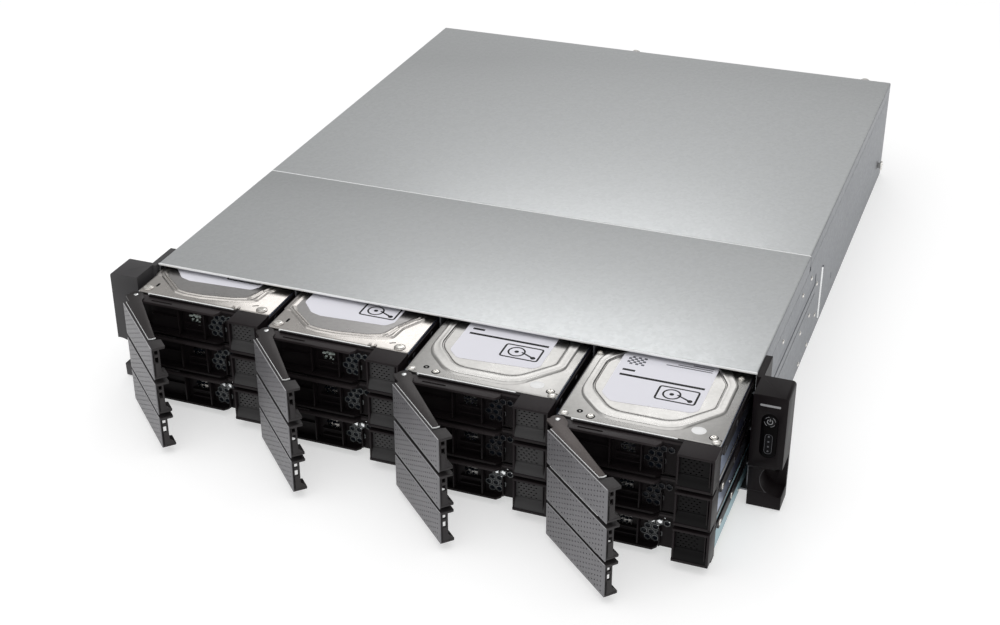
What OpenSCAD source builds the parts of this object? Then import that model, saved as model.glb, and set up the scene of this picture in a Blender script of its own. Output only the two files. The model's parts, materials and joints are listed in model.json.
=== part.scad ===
// Rack-mount storage server, 2U high: twelve 3.5-inch drive trays in four columns of three.
// X runs to the right seen from the front, Y to the rear and Z up.
// The origin is on the underside of the floor, at the middle of the rack plane.
// The trays are drawn part way out, column by column, with their levers swung open.

/* [Chassis] */
// Outer width of the chassis, over both side walls
body_w = 432; // [430:1:434]
// Depth from the rack plane to the back edge of the top cover
body_d = 537; // [500:1:560]
// Height over the top cover
body_h = 87.5; // [87:0.5:89]
// Thickness of the floor and side walls
wall_t = 1.2; // [1:0.1:1.2]
// Thickness of both top covers
cover_t = 1; // [0.8:0.1:1]
// Depth of the fixed front top cover, where the seam lies
seam_y = 172; // [170:1:176]

/* [Rack ears] */
// Width over both ears, the 19-inch panel width
panel_w = 482; // [481:0.5:483]
// How far the ears stand in front of the rack plane
ear_d = 23.5; // [22:0.5:26]
// Distance between the rack holes of the two ears
rack_hole_pitch = 465.1; // [464:0.1:466]
// Height of the rack holes
rack_hole_z = 22.2; // [20:0.1:25]

/* [Drive bays] */
// Distance between tray columns
col_pitch = 108; // [108:0.1:108.2]
// Distance between tray rows
row_pitch = 26.8; // [26.8:0.1:27]
// Height of the lowest row above the underside
row_z = 4; // [3.5:0.1:4.2]
// How far closed trays stand in front of the rack plane
closed_out = 20; // [18:0.5:22]
// How far each column's trays are drawn out, left to right
tray_pull = [31.5, 45, 64.5, 80]; // [0:0.5:90]
// How far each column's levers are open in degrees, left to right
lever_open = [43.5, 45.5, 43.5, 42]; // [0:0.5:46]

/* [Drives] */
// Width of a 3.5-inch drive
drive_w = 101.6; // [101:0.1:101.6]
// Length of a 3.5-inch drive
drive_l = 147; // [146:0.5:147]
// Height of a 3.5-inch drive
drive_h = 26.1; // [25:0.1:26.1]

/* [Rear] */
// Diameter of the system fans' blades
fan_d = 76; // [70:1:76]
// Number of blades on each fan
fan_blades = 7; // [5:1:9]
// Width of a power supply module
psu_w = 54; // [50:1:55]
// Height of a power supply module
psu_h = 39.4; // [38:0.2:39.6]

/* [Hidden] */
$fn = 48;
half_w = body_w / 2;
inner_x = half_w - wall_t;
flange_z_front = 74.2;
flange_z_rear = 78;
seam_gap = 0.3;
ear_x = 219;
bay_y = closed_out;

// Tray, in its own frame: x from the column's left edge, y from the block's front, z from the row
rail_t = 1.2;
rail_x0 = 1.8;
rail_x1 = col_pitch - rail_x0;
rail_z0 = 15.4;
rail_z1 = 23.6;
tray_l = 164;
tray_h = 26.2;
pocket_x = 14;
wall_y = 15;
wall_h = 25.4;
bar_y = 8;
bar_x1 = 68.5;
bar_z0 = 22.4;
bar_z1 = 24;
block_x0 = 83;
block_x1 = 106;
block_d = 16.5;
well_d = 3.6;
pin_x = 5.3;
pin_y = 12.7;
pin_r = 1.5;
drive_x = (col_pitch - drive_w) / 2;
drive_y = 18.2;
drive_z = 0.3;
screw_z = 19.5;
screw_ys = [25.5, 55.5, 136.5];

// Door on the lever, in the tray's frame with the lever closed
door_x0 = 12;
door_x1 = 82.5;
door_y = 1.8;
door_t = 2;
door_z0 = 2.4;
door_z1 = 26;
end_x0 = 71;
end_y1 = 10.6;
end_t = 1.6;

board_z = 7;
board_t = 1.6;
port_y = 518;
port_y1 = 537.4;
port_z = board_z + board_t + 0.2;
panel_y = 534.5;
psu_x = -205;
psu_y = 350;
psu_zs = [2.4, 42.2];
psu_bay_top = 82.6;
psu_inlet_x = 14;
psu_fan_x = 39;
lan_x = -120;
lan_count = 4;
lan_pitch = 16;
lan_h = 13;
usb_x = -44;
usb_w = 16;
usb_h = 16;
usb_slot_zs = [1.4, 9];
slot_x = 56;
slot_count = 4;
slot_pitch = 20.3;
vent_pitch = 8;
fan_y = 180;
fan_t = 38;
fan_frame_w = 80;
fan_z = 43;
fan_xs = [-100, 100];
knob_xs = [-24, 192];
knob_z = 80;
button_x = 230.5;
button_z = 68.4;
window_z = 51.8;

black_plastic = [0.06, 0.06, 0.065];
door_grey = [0.27, 0.27, 0.28];
zinc = [0.68, 0.7, 0.7];
silver = [0.78, 0.76, 0.72];
green_board = [0.05, 0.25, 0.14];
dark_metal = [0.12, 0.11, 0.11];

COLS = [1, 2, 3, 4];
ROWS = [1, 2, 3];

// ---------- helpers ----------

// An outline in Y and Z, pulled out along +X from x0
module along_x(x0, length) {
    translate([x0, 0, 0]) rotate([90, 0, 90]) linear_extrude(length) children();
}

// An outline in X and Z, pulled out along +Y from y0
module along_y(y0, length) {
    translate([0, y0 + length, 0]) rotate([90, 0, 0]) linear_extrude(length) children();
}

// Flat outline with round ends, centred on the origin, longer along its second axis
module slot_outline(width, length) {
    square([width, length - width], center = true);
    for (end = [-1, 1]) translate([0, end * (length - width) / 2]) circle(d = width);
}

// Box between two corners
module block(low, high) {
    translate(low) cube([high[0] - low[0], high[1] - low[1], high[2] - low[2]]);
}

// Moves from a tray's own frame to the chassis frame, for row r (1 is the top) and column c
module at_bay(r, c) {
    translate([(c - 1) * col_pitch - half_w, -bay_y - tray_pull[c - 1], row_z + (3 - r) * row_pitch])
        children();
}

// Turns a closed lever about its pin to its open angle
module swing(c) {
    translate([pin_x, pin_y, 0]) rotate([0, 0, -lever_open[c - 1]])
        translate([-pin_x, -pin_y, 0]) children();
}

module both_sides() {
    children();
    mirror([1, 0, 0]) children();
}

// ---------- drive trays ----------

// Curved floor of the finger well: a quarter round falling from the back of the well to its sill
module well_outline() {
    sill_z = 4;
    top_z = 24.8;
    shelf_z = 12;
    steps = 6;
    polygon(concat(
        [[-1, sill_z], [-1, top_z], [well_d, top_z], [well_d, shelf_z]],
        [for (i = [1 : steps]) let (a = 90 * i / steps)
            [well_d * cos(a), sill_z + (shelf_z - sill_z) * (1 - sin(a))]]));
}

module finger_block() {
    difference() {
        block([block_x0, 0, 2], [block_x1, block_d, tray_h]);
        along_x(block_x0 + 1.2, 19) well_outline();
    }
    block([block_x0 - 0.2, 9, 0], [block_x1, block_d, 2.5]);
}

module vent_holes() {
    pitch = 4.7;
    for (row = [0 : 3]) for (col = [0 : 1])
        translate([67.4 + pitch * col + (row % 2) * pitch / 2, wall_y - 1, 5.5 + row * pitch * 0.87])
            rotate([-90, 30, 0]) cylinder(r = 2.1, h = 4, $fn = 6);
}

module tray_body() {
    difference() {
        union() {
            block([pocket_x, wall_y, 0], [block_x0 + 1, wall_y + 1.5, wall_h]);
            block([rail_x0, 16.6, 0], [pocket_x + 0.8, 17.8, bar_z1]);
            block([pocket_x, wall_y, 0], [pocket_x + 0.8, 17.8, bar_z1]);
            block([rail_x0, bar_y, bar_z0], [pocket_x, 17.8, bar_z1]);
            block([rail_x0, bar_y, bar_z0], [bar_x1, wall_y + 0.5, bar_z1]);
            block([bar_x1 - 1, 14.8, bar_z0], [block_x0 + 1, wall_y + 0.5, bar_z1]);
            block([rail_x0, 9, 0], [pocket_x, 17.8, 1.6]);
            block([rail_x0, 9, 0], [bar_x1, wall_y + 0.5, 1.6]);
            for (x = [38, 58, 64.5])
                block([x, 9.5, 1], [x + 1, wall_y + 0.5, bar_z0 + 0.5]);
            for (z = [8, 15])
                block([38.5, 12, z], [58.5, wall_y + 0.5, z + 1]);
            block([rail_x0, 16.6, rail_z0], [rail_x0 + rail_t, tray_l, rail_z1]);
            block([rail_x1 - rail_t, 14, rail_z0], [rail_x1, tray_l, rail_z1]);
            finger_block();
        }
        translate([pin_x, pin_y, -1]) cylinder(r = pin_r + 0.1, h = 40);
        block([18.3, 10.3, bar_z0 - 1], [34.4, 11.7, bar_z1 + 1]);
        vent_holes();
        for (y = screw_ys) translate([-1, y, screw_z]) rotate([0, 90, 0])
            cylinder(r = 1.8, h = col_pitch + 2);
    }
}

module tray(r, c) {
    color(black_plastic) at_bay(r, c) tray_body();
}

// Metal lever: pivot eye, catch nose and a long arm that tapers along the back of the door
module lever_plate_outline() {
    circle(r = 5);
    polygon([[-1.9, -6.6], [-4.2, -5], [-2.4, -0.6], [1, 4.6], [5.8, 4], [9.6, 1.4],
             [63.7, -4.3], [64.3, -6.6], [64, -8.8], [6.8, -8.8], [6.2, -6.6]]);
}

module lever_metal() {
    translate([pin_x, pin_y, 24.2]) linear_extrude(0.95) lever_plate_outline();
    translate([pin_x, pin_y, 0.4]) cylinder(r = pin_r, h = 24.2);
    translate([pin_x, pin_y, 25]) cylinder(r = 1.9, h = 0.9);
}

module lower_arm() {
    difference() {
        translate([0, 0, door_z0]) linear_extrude(1.4) union() {
            translate([pin_x, pin_y]) circle(r = 3.4);
            polygon([[2.6, 10.6], [8, 14.7], [24, 6], [24, door_y + 1], [door_x0 + 0.1, door_y + 1]]);
        }
        translate([pin_x, pin_y, 0]) cylinder(r = pin_r + 0.06, h = 10);
    }
}

// Open box at the lever's free end: a wall with two windows between an upper and a lower lip
module door_end() {
    wall_x = door_x1 - end_t;
    wall_y1 = 9.4;
    window_y0 = 5;
    window_y1 = 8.2;
    chamfer = 3.4;
    difference() {
        union() {
            block([end_x0, door_y + 1, door_z1 - end_t], [door_x1, end_y1, door_z1]);
            block([wall_x, door_y + 1, door_z0], [door_x1, wall_y1, door_z1 - 1]);
            block([end_x0, door_y + 1, door_z0], [door_x1, end_y1, door_z0 + end_t]);
        }
        for (z = [[8, 15.6], [18.2, 22.2]])
            block([wall_x - 1, window_y0, z[0]], [door_x1 + 1, window_y1, z[1]]);
        translate([end_x0, end_y1, 0]) rotate([0, 0, 45]) cube([chamfer, chamfer, 60], center = true);
    }
    along_x(wall_x, end_t)
        polygon([[wall_y1 - 0.4, door_z0], [end_y1, door_z0], [end_y1, 4.2], [wall_y1, 7.4], [wall_y1 - 0.4, 7.4]]);
}

module door() {
    block([door_x0, door_y, door_z0], [door_x1, door_y + door_t, door_z1]);
    block([door_x0, door_y + 1, 25.2], [end_x0 + 1, 6.3, door_z1]);
    block([door_x0, door_y + 1, door_z0], [end_x0 + 1, 6.3, door_z0 + 1]);
    lower_arm();
    door_end();
}

module lever(r, c) {
    color(dark_metal) at_bay(r, c) swing(c) lever_metal();
    color(door_grey) at_bay(r, c) swing(c) door();
}

// ---------- hard drives ----------

// Lid rib of the drives in columns 3 and 4: an octagon stretched along the drive
module lid_rib_outline(inset) {
    w = drive_w - 14 - 2 * inset;
    l = drive_l - 16 - 2 * inset;
    corner = 26 - inset * 0.6;
    polygon([[-w / 2 + corner, -l / 2], [w / 2 - corner, -l / 2], [w / 2, -l / 2 + corner],
             [w / 2, l / 2 - corner], [w / 2 - corner, l / 2], [-w / 2 + corner, l / 2],
             [-w / 2, l / 2 - corner], [-w / 2, -l / 2 + corner]]);
}

module drive_body() {
    lid_z = drive_z + drive_h - 1.2;
    plug_w = 42;
    difference() {
        union() {
            block([drive_x, drive_y, drive_z], [drive_x + drive_w, drive_y + drive_l, lid_z]);
            block([drive_x + 1.2, drive_y + 1.2, lid_z - 0.5],
                  [drive_x + drive_w - 1.2, drive_y + drive_l - 4, lid_z + 0.6]);
            translate([drive_x + drive_w / 2, drive_y + drive_l / 2, lid_z]) linear_extrude(1.2)
                lid_rib_outline(0);
        }
        translate([drive_x + drive_w / 2, drive_y + drive_l / 2, lid_z + 0.8]) linear_extrude(2)
            lid_rib_outline(5);
        for (y = screw_ys) for (x = [drive_x, drive_x + drive_w]) translate([x, y, screw_z])
            rotate([0, 90, 0]) cylinder(r = 1.6, h = 8, center = true);
        block([drive_x + 9, drive_y + drive_l - 6, drive_z - 1],
              [drive_x + 9 + plug_w, drive_y + drive_l + 1, drive_z + 5]);
    }
}

// One drive screw lying along +X, its head at the rail's outer face
module drive_screw() {
    rotate([0, 90, 0]) cylinder(r = 1.4, h = 4.2);
    translate([-0.5, 0, 0]) rotate([0, 90, 0]) cylinder(r = 2.5, h = 0.5);
}

// A drive and the six screws that hold it between the tray's rails
module drive(r, c) {
    color(silver) at_bay(r, c) {
        drive_body();
        for (y = screw_ys) {
            translate([rail_x0 - 0.02, y, screw_z]) drive_screw();
            translate([rail_x1 + 0.02, y, screw_z]) rotate([0, 0, 180]) drive_screw();
        }
    }
}

// ---------- chassis ----------

module chassis_side() {
    difference() {
        union() {
            block([inner_x, 0, 0], [half_w, body_d - 1, flange_z_front - 0.4]);
            block([inner_x, seam_y + 4.6, 0], [half_w, body_d - 1, flange_z_rear - 0.4]);
            block([inner_x - 1.4, seam_y - 19, 0.5], [inner_x - 0.2, body_d - 1, body_h - 1.6]);
            block([inner_x - 1.4, seam_y - 19, 70], [half_w - 0.1, body_d - 1, 70.8]);
        }
        block([half_w - 0.5, 28, 48], [half_w + 1, 206, 57.5]);
        block([half_w - 0.3, 28, 40], [half_w + 1, 206, 41]);
        block([half_w - 3, 282.2, 15], [half_w + 1, 284, 21]);
    }
    translate([half_w - 0.6, 234, 8]) cylinder(r = 1.5, h = 42);
}

module chassis_base() {
    color(zinc) {
        block([-half_w, -3, 0], [half_w, body_d - 1, wall_t]);
        both_sides() chassis_side();
        for (x = [-130, 30, 198]) for (y = [270, 395, 520])
            translate([x, y, wall_t - 0.1]) cylinder(r = 3, h = board_z - wall_t);
    }
}

module front_top_cover() {
    color(zinc) {
        block([-half_w, 0, body_h - cover_t], [half_w, seam_y, body_h]);
        block([-inner_x + 1, 0, 85.2], [inner_x - 1, 1, body_h - 0.5]);
        both_sides() {
            block([inner_x, 0, flange_z_front], [half_w, seam_y, body_h - 0.5]);
            block([inner_x, seam_y - 1, flange_z_front], [half_w, seam_y + 4, body_h - 1.4]);
        }
    }
}

module rear_top_cover() {
    lip_x0 = -142;
    lip_x1 = 213;
    color(zinc) {
        difference() {
            union() {
                block([-half_w, seam_y + seam_gap, body_h - cover_t], [half_w, body_d, body_h]);
                both_sides()
                    block([inner_x + 0.1, seam_y + 5, flange_z_rear], [half_w, body_d, body_h - 0.5]);
                block([lip_x0, body_d - 1, 72], [lip_x1, body_d, body_h - 0.5]);
            }
            for (x = knob_xs) translate([x, body_d - 5, knob_z]) rotate([-90, 0, 0])
                cylinder(r = 2.3, h = 10);
        }
    }
}

module drive_cage() {
    shelf_z0 = 13.5;
    shelf_z1 = 15.1;
    cage_l = 147;
    color(zinc) for (c = [1 : 3]) translate([c * col_pitch - half_w, 0, 0]) {
        block([-0.5, 1, wall_t + 0.05], [0.5, 1 + cage_l, 86.4]);
        block([-5, 1, wall_t + 0.05], [5, 1 + cage_l, wall_t + 1]);
        block([-5, 1.2, 85.4], [5, 1 + cage_l, 86.4]);
        for (row = [0 : 2]) translate([0, 0, row_z + row * row_pitch])
            block([-2.9, 1, shelf_z0], [2.9, cage_l, shelf_z1]);
    }
    color(zinc) both_sides() for (row = [0 : 2]) translate([0, 0, row_z + row * row_pitch])
        block([half_w - 2.9, 1, shelf_z0], [inner_x - 0.05, cage_l, shelf_z1]);
}

module backplane() {
    board_y = 150;
    plug_y = 145.7;
    color(green_board) difference() {
        block([-210, board_y, 2], [210, board_y + board_t, 85]);
        for (c = [0 : 3]) for (row = [0 : 2])
            block([c * col_pitch - half_w + 58, board_y - 1, row_z + row * row_pitch + 4],
                  [c * col_pitch - half_w + 100, board_y + 4, row_z + row * row_pitch + 22]);
    }
    color(black_plastic) for (c = [0 : 3]) for (row = [0 : 2])
        translate([c * col_pitch - half_w, 0, row_z + row * row_pitch])
            block([drive_x + 10, plug_y, 1], [drive_x + 50, board_y - 0.05, 5]);
}

// ---------- rack ears ----------

module ear_outline() {
    polygon([[-3, 0.6], [-3, 87], [-ear_d, 87], [-ear_d, 34], [-19.5, 30], [-19.5, 13],
             [-19, 12.4], [-18.5, 0.6]]);
}

module ear_front_outline() {
    out_x = panel_w / 2;
    round_r = 2.5;
    difference() {
        translate([ear_x, 0.6]) square([out_x - ear_x, 86.4]);
        translate([out_x - round_r, 87 - round_r]) square(round_r + 1);
    }
    translate([out_x - round_r, 87 - round_r]) circle(r = round_r);
}

// Right ear; the left one is its mirror image without the control openings
module ear(controls) {
    scoop_x = 239;
    scoop_z = 22.6;
    scoop_r = 12.3;
    difference() {
        union() {
            intersection() {
                along_x(ear_x, panel_w / 2 - ear_x) ear_outline();
                along_y(-ear_d - 1, ear_d) ear_front_outline();
            }
            along_y(-3.1, 3.1) ear_front_outline();
            block([half_w + 0.1, -3, 0.6], [half_w + 4.5, 25, 87]);
        }
        translate([scoop_x, -ear_d - 2, scoop_z]) rotate([-90, 0, 0])
            cylinder(r = scoop_r, h = ear_d - 1);
        translate([rack_hole_pitch / 2, -10, rack_hole_z]) rotate([-90, 0, 0])
            cylinder(r = 3.4, h = 20);
        if (controls) {
            along_y(-ear_d - 1, 2.6) translate([button_x, 58]) slot_outline(10.8, 32.4);
            translate([button_x, -ear_d - 1, button_z]) rotate([-90, 0, 0])
                cylinder(r = 4.25, h = 12.5);
        }
    }
}

module right_ear() {
    color(black_plastic) ear(true);
}

module left_ear() {
    color(black_plastic) mirror([1, 0, 0]) ear(false);
}

module status_panel() {
    color([0.02, 0.02, 0.025]) difference() {
        along_y(-ear_d + 0.2, 1.4) translate([button_x, 58]) slot_outline(10.4, 32);
        along_y(-ear_d - 1, 5) translate([button_x, button_z]) circle(r = 4.25);
        along_y(-ear_d - 1, 5) translate([button_x, window_z]) slot_outline(5.4, 15);
    }
}

module status_lights() {
    color("white") along_y(-ear_d + 0.7, 0.9) translate([button_x, window_z]) slot_outline(5.1, 14.7);
}

module power_button() {
    color(dark_metal) translate([button_x, -ear_d + 0.2, button_z]) rotate([-90, 0, 0])
        cylinder(r = 3.9, h = 9.6);
}

// ---------- inside the rear ----------

module fan_frame() {
    bore_r = fan_d / 2;
    difference() {
        union() {
            difference() {
                block([-fan_frame_w / 2, 0, -fan_frame_w / 2], [fan_frame_w / 2, fan_t, fan_frame_w / 2]);
                translate([0, -1, 0]) rotate([-90, 0, 0]) cylinder(r = bore_r, h = fan_t + 2);
            }
            translate([0, fan_t - 3, 0]) rotate([-90, 0, 0]) cylinder(r = 18, h = 3);
            for (a = [0 : 90 : 270]) rotate([0, a + 45, 0])
                block([-2, fan_t - 3, 0], [2, fan_t, bore_r + 1]);
        }
        translate([0, fan_t - 4, 0]) rotate([-90, 0, 0]) cylinder(r = 1.6, h = 6);
        for (x = [-1, 1]) for (z = [-1, 1])
            translate([x * 35.75, -1, z * 35.75]) rotate([-90, 0, 0]) cylinder(r = 2.2, h = fan_t + 2);
    }
}

module fan_frames() {
    color(black_plastic) for (x = fan_xs) translate([x, fan_y, fan_z]) fan_frame();
}

module fan_rotor(x) {
    hub_r = 17;
    blade_l = fan_d / 2 - 0.7 - hub_r + 1;
    color(dark_metal) translate([x, fan_y, fan_z]) rotate([-90, 0, 0]) {
        translate([0, 0, 4]) cylinder(r = hub_r, h = 30);
        cylinder(r = 1.5, h = fan_t - 0.5);
        for (i = [0 : fan_blades - 1]) rotate([0, 0, i * 360 / fan_blades])
            translate([hub_r - 1, 0, 19]) rotate([40, 0, 0])
                translate([0, -0.8, -13]) cube([blade_l - 1.5, 1.6, 26]);
    }
}

module mainboard() {
    top = board_z + board_t - 0.1;
    color(green_board) block([-140, 262, board_z], [205, 526, board_z + board_t]);
    color(dark_metal) {
        for (i = [0 : 3]) block([96 + 12 * i, 296, top], [102 + 12 * i, 438, top + 8]);
        for (i = [0 : 3]) block([60 + 20.3 * i, 446, top], [66 + 20.3 * i, 505, top + 10]);
        block([-118, 300, top], [-92, 326, top + 3]);
        block([-60, 420, top], [-38, 442, top + 3]);
        block([150, 300, top], [196, 306, top + 9]);
        block([-136, 270, top], [-128, 322, top + 10]);
    }
    color(silver) for (i = [0 : 5])
        translate([-28, 336 + i * 13, top]) cylinder(r = 4, h = 12);
}

module cpu_heatsink() {
    fins = 18;
    base_z = board_z + board_t + 0.1;
    color([0.75, 0.76, 0.78]) translate([15, 335, base_z]) {
        block([0, 0, 0], [72, 90, 6]);
        for (i = [0 : fins - 1]) translate([i * 71 / (fins - 1), 0, 5]) cube([1, 90, 45]);
    }
}

module memory_modules() {
    seat_z = board_z + board_t + 8;
    color(green_board) for (i = [0 : 3])
        block([98.4 + 12 * i, 300, seat_z], [99.6 + 12 * i, 433, seat_z + 26]);
    color(dark_metal) for (i = [0 : 3]) for (k = [0 : 7])
        block([99.55 + 12 * i, 304 + k * 16, seat_z + 8], [100.6 + 12 * i, 316 + k * 16, seat_z + 20]);
}

module psu(z0) {
    back_y = body_d + 0.2;
    inlet_z = psu_h / 2;
    inlet_depth = 16;
    inlet_half = [11, 12];
    handle_xs = [27, 50];
    handle_reach = 20;
    color([0.7, 0.71, 0.72]) translate([psu_x, 0, z0]) difference() {
        block([0, psu_y, 0], [psu_w, back_y, psu_h]);
        block([psu_inlet_x - inlet_half[0], back_y - inlet_depth, inlet_z - inlet_half[1]],
              [psu_inlet_x + inlet_half[0], back_y + 1, inlet_z + inlet_half[1]]);
        translate([psu_fan_x, back_y - 3, 20]) rotate([-90, 0, 0]) cylinder(r = 12.5, h = 4);
    }
    color(dark_metal) translate([psu_x, 0, z0]) {
        for (x = [-6.4, 0, 6.4])
            block([psu_inlet_x + x - 1, back_y - inlet_depth - 0.05, inlet_z - 4],
                  [psu_inlet_x + x + 1, back_y - 5, inlet_z + 3]);
        for (x = handle_xs) block([x, back_y - 0.05, 17], [x + 2.5, back_y + handle_reach, 23]);
        block([handle_xs[0], back_y + handle_reach - 2.5, 17], [handle_xs[1] + 2.5, back_y + handle_reach, 23]);
    }
}

module rj45_pocket(x) {
    block([x + 2.2, port_y + 6, 1.6], [x + 13.8, port_y1 + 1, 10]);
}

module rear_ports() {
    color(silver) translate([0, 0, port_z]) difference() {
        block([lan_x, port_y, 0], [lan_x + lan_count * lan_pitch, port_y1, lan_h]);
        for (i = [0 : lan_count - 1]) rj45_pocket(lan_x + lan_pitch * i);
    }
    color([0.1, 0.2, 0.55]) translate([usb_x, 0, port_z]) difference() {
        block([0, port_y, 0], [usb_w, port_y1, usb_h]);
        for (z = usb_slot_zs) block([1.4, port_y + 5, z], [usb_w - 1.4, port_y1 + 1, z + 5.6]);
    }
}

module slot_covers() {
    color(zinc) for (i = [0 : slot_count - 1]) translate([slot_x + slot_pitch * i, 0, 0])
        block([-2, panel_y - 1.1, 12], [16.4, panel_y - 0.1, 68]);
}

// Rectangular opening through the rear panel, from one corner to the other as [x, z]
module window(low, high) {
    block([low[0], panel_y - 1, low[1]], [high[0], panel_y + 3, high[1]]);
}

module rear_panel() {
    psu_bay_x1 = psu_x + psu_w + 3;
    color(zinc) difference() {
        union() {
            block([-inner_x + 1.6, panel_y, wall_t + 0.1], [inner_x - 1.6, panel_y + 1.2, body_h - 1.4]);
            block([psu_bay_x1 + 0.2, psu_y - 10, wall_t + 0.1], [psu_bay_x1 + 1.4, panel_y + 0.5, psu_bay_top]);
        }
        window([-206, 2], [psu_bay_x1 - 0.5, psu_bay_top - 0.3]);
        window([lan_x - 0.4, port_z - 0.5], [lan_x + lan_count * lan_pitch + 0.4, port_z + lan_h + 0.4]);
        window([usb_x - 0.4, port_z - 0.5], [usb_x + usb_w + 0.4, port_z + usb_h + 0.4]);
        for (i = [0 : slot_count - 1]) translate([slot_x + slot_pitch * i, 0, 0]) window([0, 15], [14.4, 65]);
        for (i = [0 : 10]) along_y(panel_y - 1, 4) translate([-118 + vent_pitch * i, 50]) slot_outline(4, 26);
        for (i = [0 : 7]) along_y(panel_y - 1, 4) translate([148 + vent_pitch * i, 36]) slot_outline(4, 40);
        for (x = knob_xs) translate([x, panel_y - 1, knob_z]) rotate([-90, 0, 0])
            cylinder(r = 2.3, h = 4);
    }
}

// ---------- fasteners ----------

module thumbscrew(x) {
    color(silver) translate([x, body_d, knob_z]) rotate([-90, 0, 0]) {
        translate([0, 0, 0.4]) cylinder(r = 5.6, h = 8.6);
        translate([0, 0, 9]) cylinder(r1 = 5.6, r2 = 3.4, h = 1.6);
        translate([0, 0, -7]) cylinder(r = 2, h = 8);
    }
}

module rivet(y, z) {
    translate([half_w + 0.05, y, z]) rotate([0, 90, 0]) cylinder(r1 = 1.9, r2 = 1, h = 0.7);
}

// Rivets along both side walls, as [y, z], and the slide-rail stud near the back
module side_fasteners() {
    rivets = [[85, 64.4], [152, 66], [184, 64], [155, 33.5], [189, 30.6],
              [159.5, 5], [190, 5], [212, 45.7], [216, 17]];
    color(silver) both_sides() {
        for (at = rivets) rivet(at[0], at[1]);
        translate([half_w + 0.05, 512, 17.5]) rotate([0, 90, 0]) {
            cylinder(r = 2.4, h = 2);
            translate([0, 0, 2]) cylinder(r = 4.2, h = 1.8);
        }
    }
}

// ---------- nodes ----------

for (r = ROWS) for (c = COLS) {
    tray(r, c);
    lever(r, c);
    drive(r, c);
}
chassis_base();
rear_panel();
front_top_cover();
rear_top_cover();
drive_cage();
backplane();
left_ear();
right_ear();
power_button();
status_panel();
status_lights();
side_fasteners();
fan_frames();
fan_rotor(fan_xs[0]);  // fan_rotor_left
fan_rotor(fan_xs[1]);  // fan_rotor_right
mainboard();
cpu_heatsink();
memory_modules();
psu(psu_zs[0]);  // psu_lower
psu(psu_zs[1]);  // psu_upper
rear_ports();
slot_covers();
thumbscrew(knob_xs[0]);  // cover_thumbscrew_middle
thumbscrew(knob_xs[1]);  // cover_thumbscrew_right
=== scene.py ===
import json
import math

import bmesh
import bpy
import numpy as np
from mathutils import Matrix, Vector
from mathutils.geometry import delaunay_2d_cdt


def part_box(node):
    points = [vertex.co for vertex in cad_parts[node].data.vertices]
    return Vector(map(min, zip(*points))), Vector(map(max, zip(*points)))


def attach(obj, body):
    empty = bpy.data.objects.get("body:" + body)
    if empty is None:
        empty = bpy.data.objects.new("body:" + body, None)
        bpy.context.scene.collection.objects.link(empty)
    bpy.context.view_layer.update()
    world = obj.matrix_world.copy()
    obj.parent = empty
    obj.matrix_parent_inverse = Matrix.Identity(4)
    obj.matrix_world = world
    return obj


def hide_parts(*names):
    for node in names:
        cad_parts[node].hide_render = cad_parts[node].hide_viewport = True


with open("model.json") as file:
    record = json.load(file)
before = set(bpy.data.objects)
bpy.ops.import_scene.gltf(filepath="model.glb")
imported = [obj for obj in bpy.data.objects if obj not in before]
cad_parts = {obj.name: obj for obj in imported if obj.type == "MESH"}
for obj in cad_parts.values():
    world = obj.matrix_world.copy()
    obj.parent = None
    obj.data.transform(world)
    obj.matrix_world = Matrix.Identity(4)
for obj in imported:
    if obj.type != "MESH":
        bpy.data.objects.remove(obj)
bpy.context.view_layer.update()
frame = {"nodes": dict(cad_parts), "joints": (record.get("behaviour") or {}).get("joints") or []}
NODES = frame["nodes"]
MM = 0.001
COLS = (1, 2, 3, 4)
ROWS = (1, 2, 3)


# ---------- materials ----------

def rgb(value):
    """A colour as RGBA; a single number is a grey."""
    if isinstance(value, (int, float)):
        value = (value,) * 3
    return (*value, 1.0)


def shades(color, spread):
    """A darker and a lighter neighbour of a colour."""
    return ([c * k for c in color] for k in (1 - spread, 1 + spread))


def new_material(name, color, rough, metal=0.0, spec=0.5):
    mat = bpy.data.materials.new(name)
    mat.use_nodes = True
    shader = mat.node_tree.nodes["Principled BSDF"]
    shader.inputs["Base Color"].default_value = rgb(color)
    shader.inputs["Roughness"].default_value = rough
    shader.inputs["Metallic"].default_value = metal
    shader.inputs["Specular IOR Level"].default_value = spec
    return mat, mat.node_tree, shader


def node(tree, kind, **values):
    made = tree.nodes.new(kind)
    for key, value in values.items():
        if key in made.inputs:
            made.inputs[key].default_value = value
        else:
            setattr(made, key, value)
    return made


def coords(tree, stretch=(1, 1, 1)):
    """Object coordinates in metres, stretched per axis."""
    source = node(tree, "ShaderNodeTexCoord")
    mapping = node(tree, "ShaderNodeMapping")
    mapping.inputs["Scale"].default_value = stretch
    tree.links.new(source.outputs["Object"], mapping.inputs["Vector"])
    return mapping.outputs["Vector"]


def noise(tree, where, scale, detail=3.0, rough=0.55):
    made = node(tree, "ShaderNodeTexNoise", Scale=scale, Detail=detail, Roughness=rough)
    tree.links.new(where, made.inputs["Vector"])
    return made.outputs["Fac"]


def ramp(tree, fac, low, high, a=0.3, b=0.7):
    made = node(tree, "ShaderNodeValToRGB")
    made.color_ramp.elements[0].position = a
    made.color_ramp.elements[0].color = rgb(low)
    made.color_ramp.elements[1].position = b
    made.color_ramp.elements[1].color = rgb(high)
    tree.links.new(fac, made.inputs["Fac"])
    return made.outputs["Color"]


def level(tree, fac, low, high, a=0.3, b=0.7):
    made = node(tree, "ShaderNodeMapRange")
    for key, value in zip(("From Min", "From Max", "To Min", "To Max"), (a, b, low, high)):
        made.inputs[key].default_value = value
    tree.links.new(fac, made.inputs["Value"])
    return made.outputs["Result"]


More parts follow.
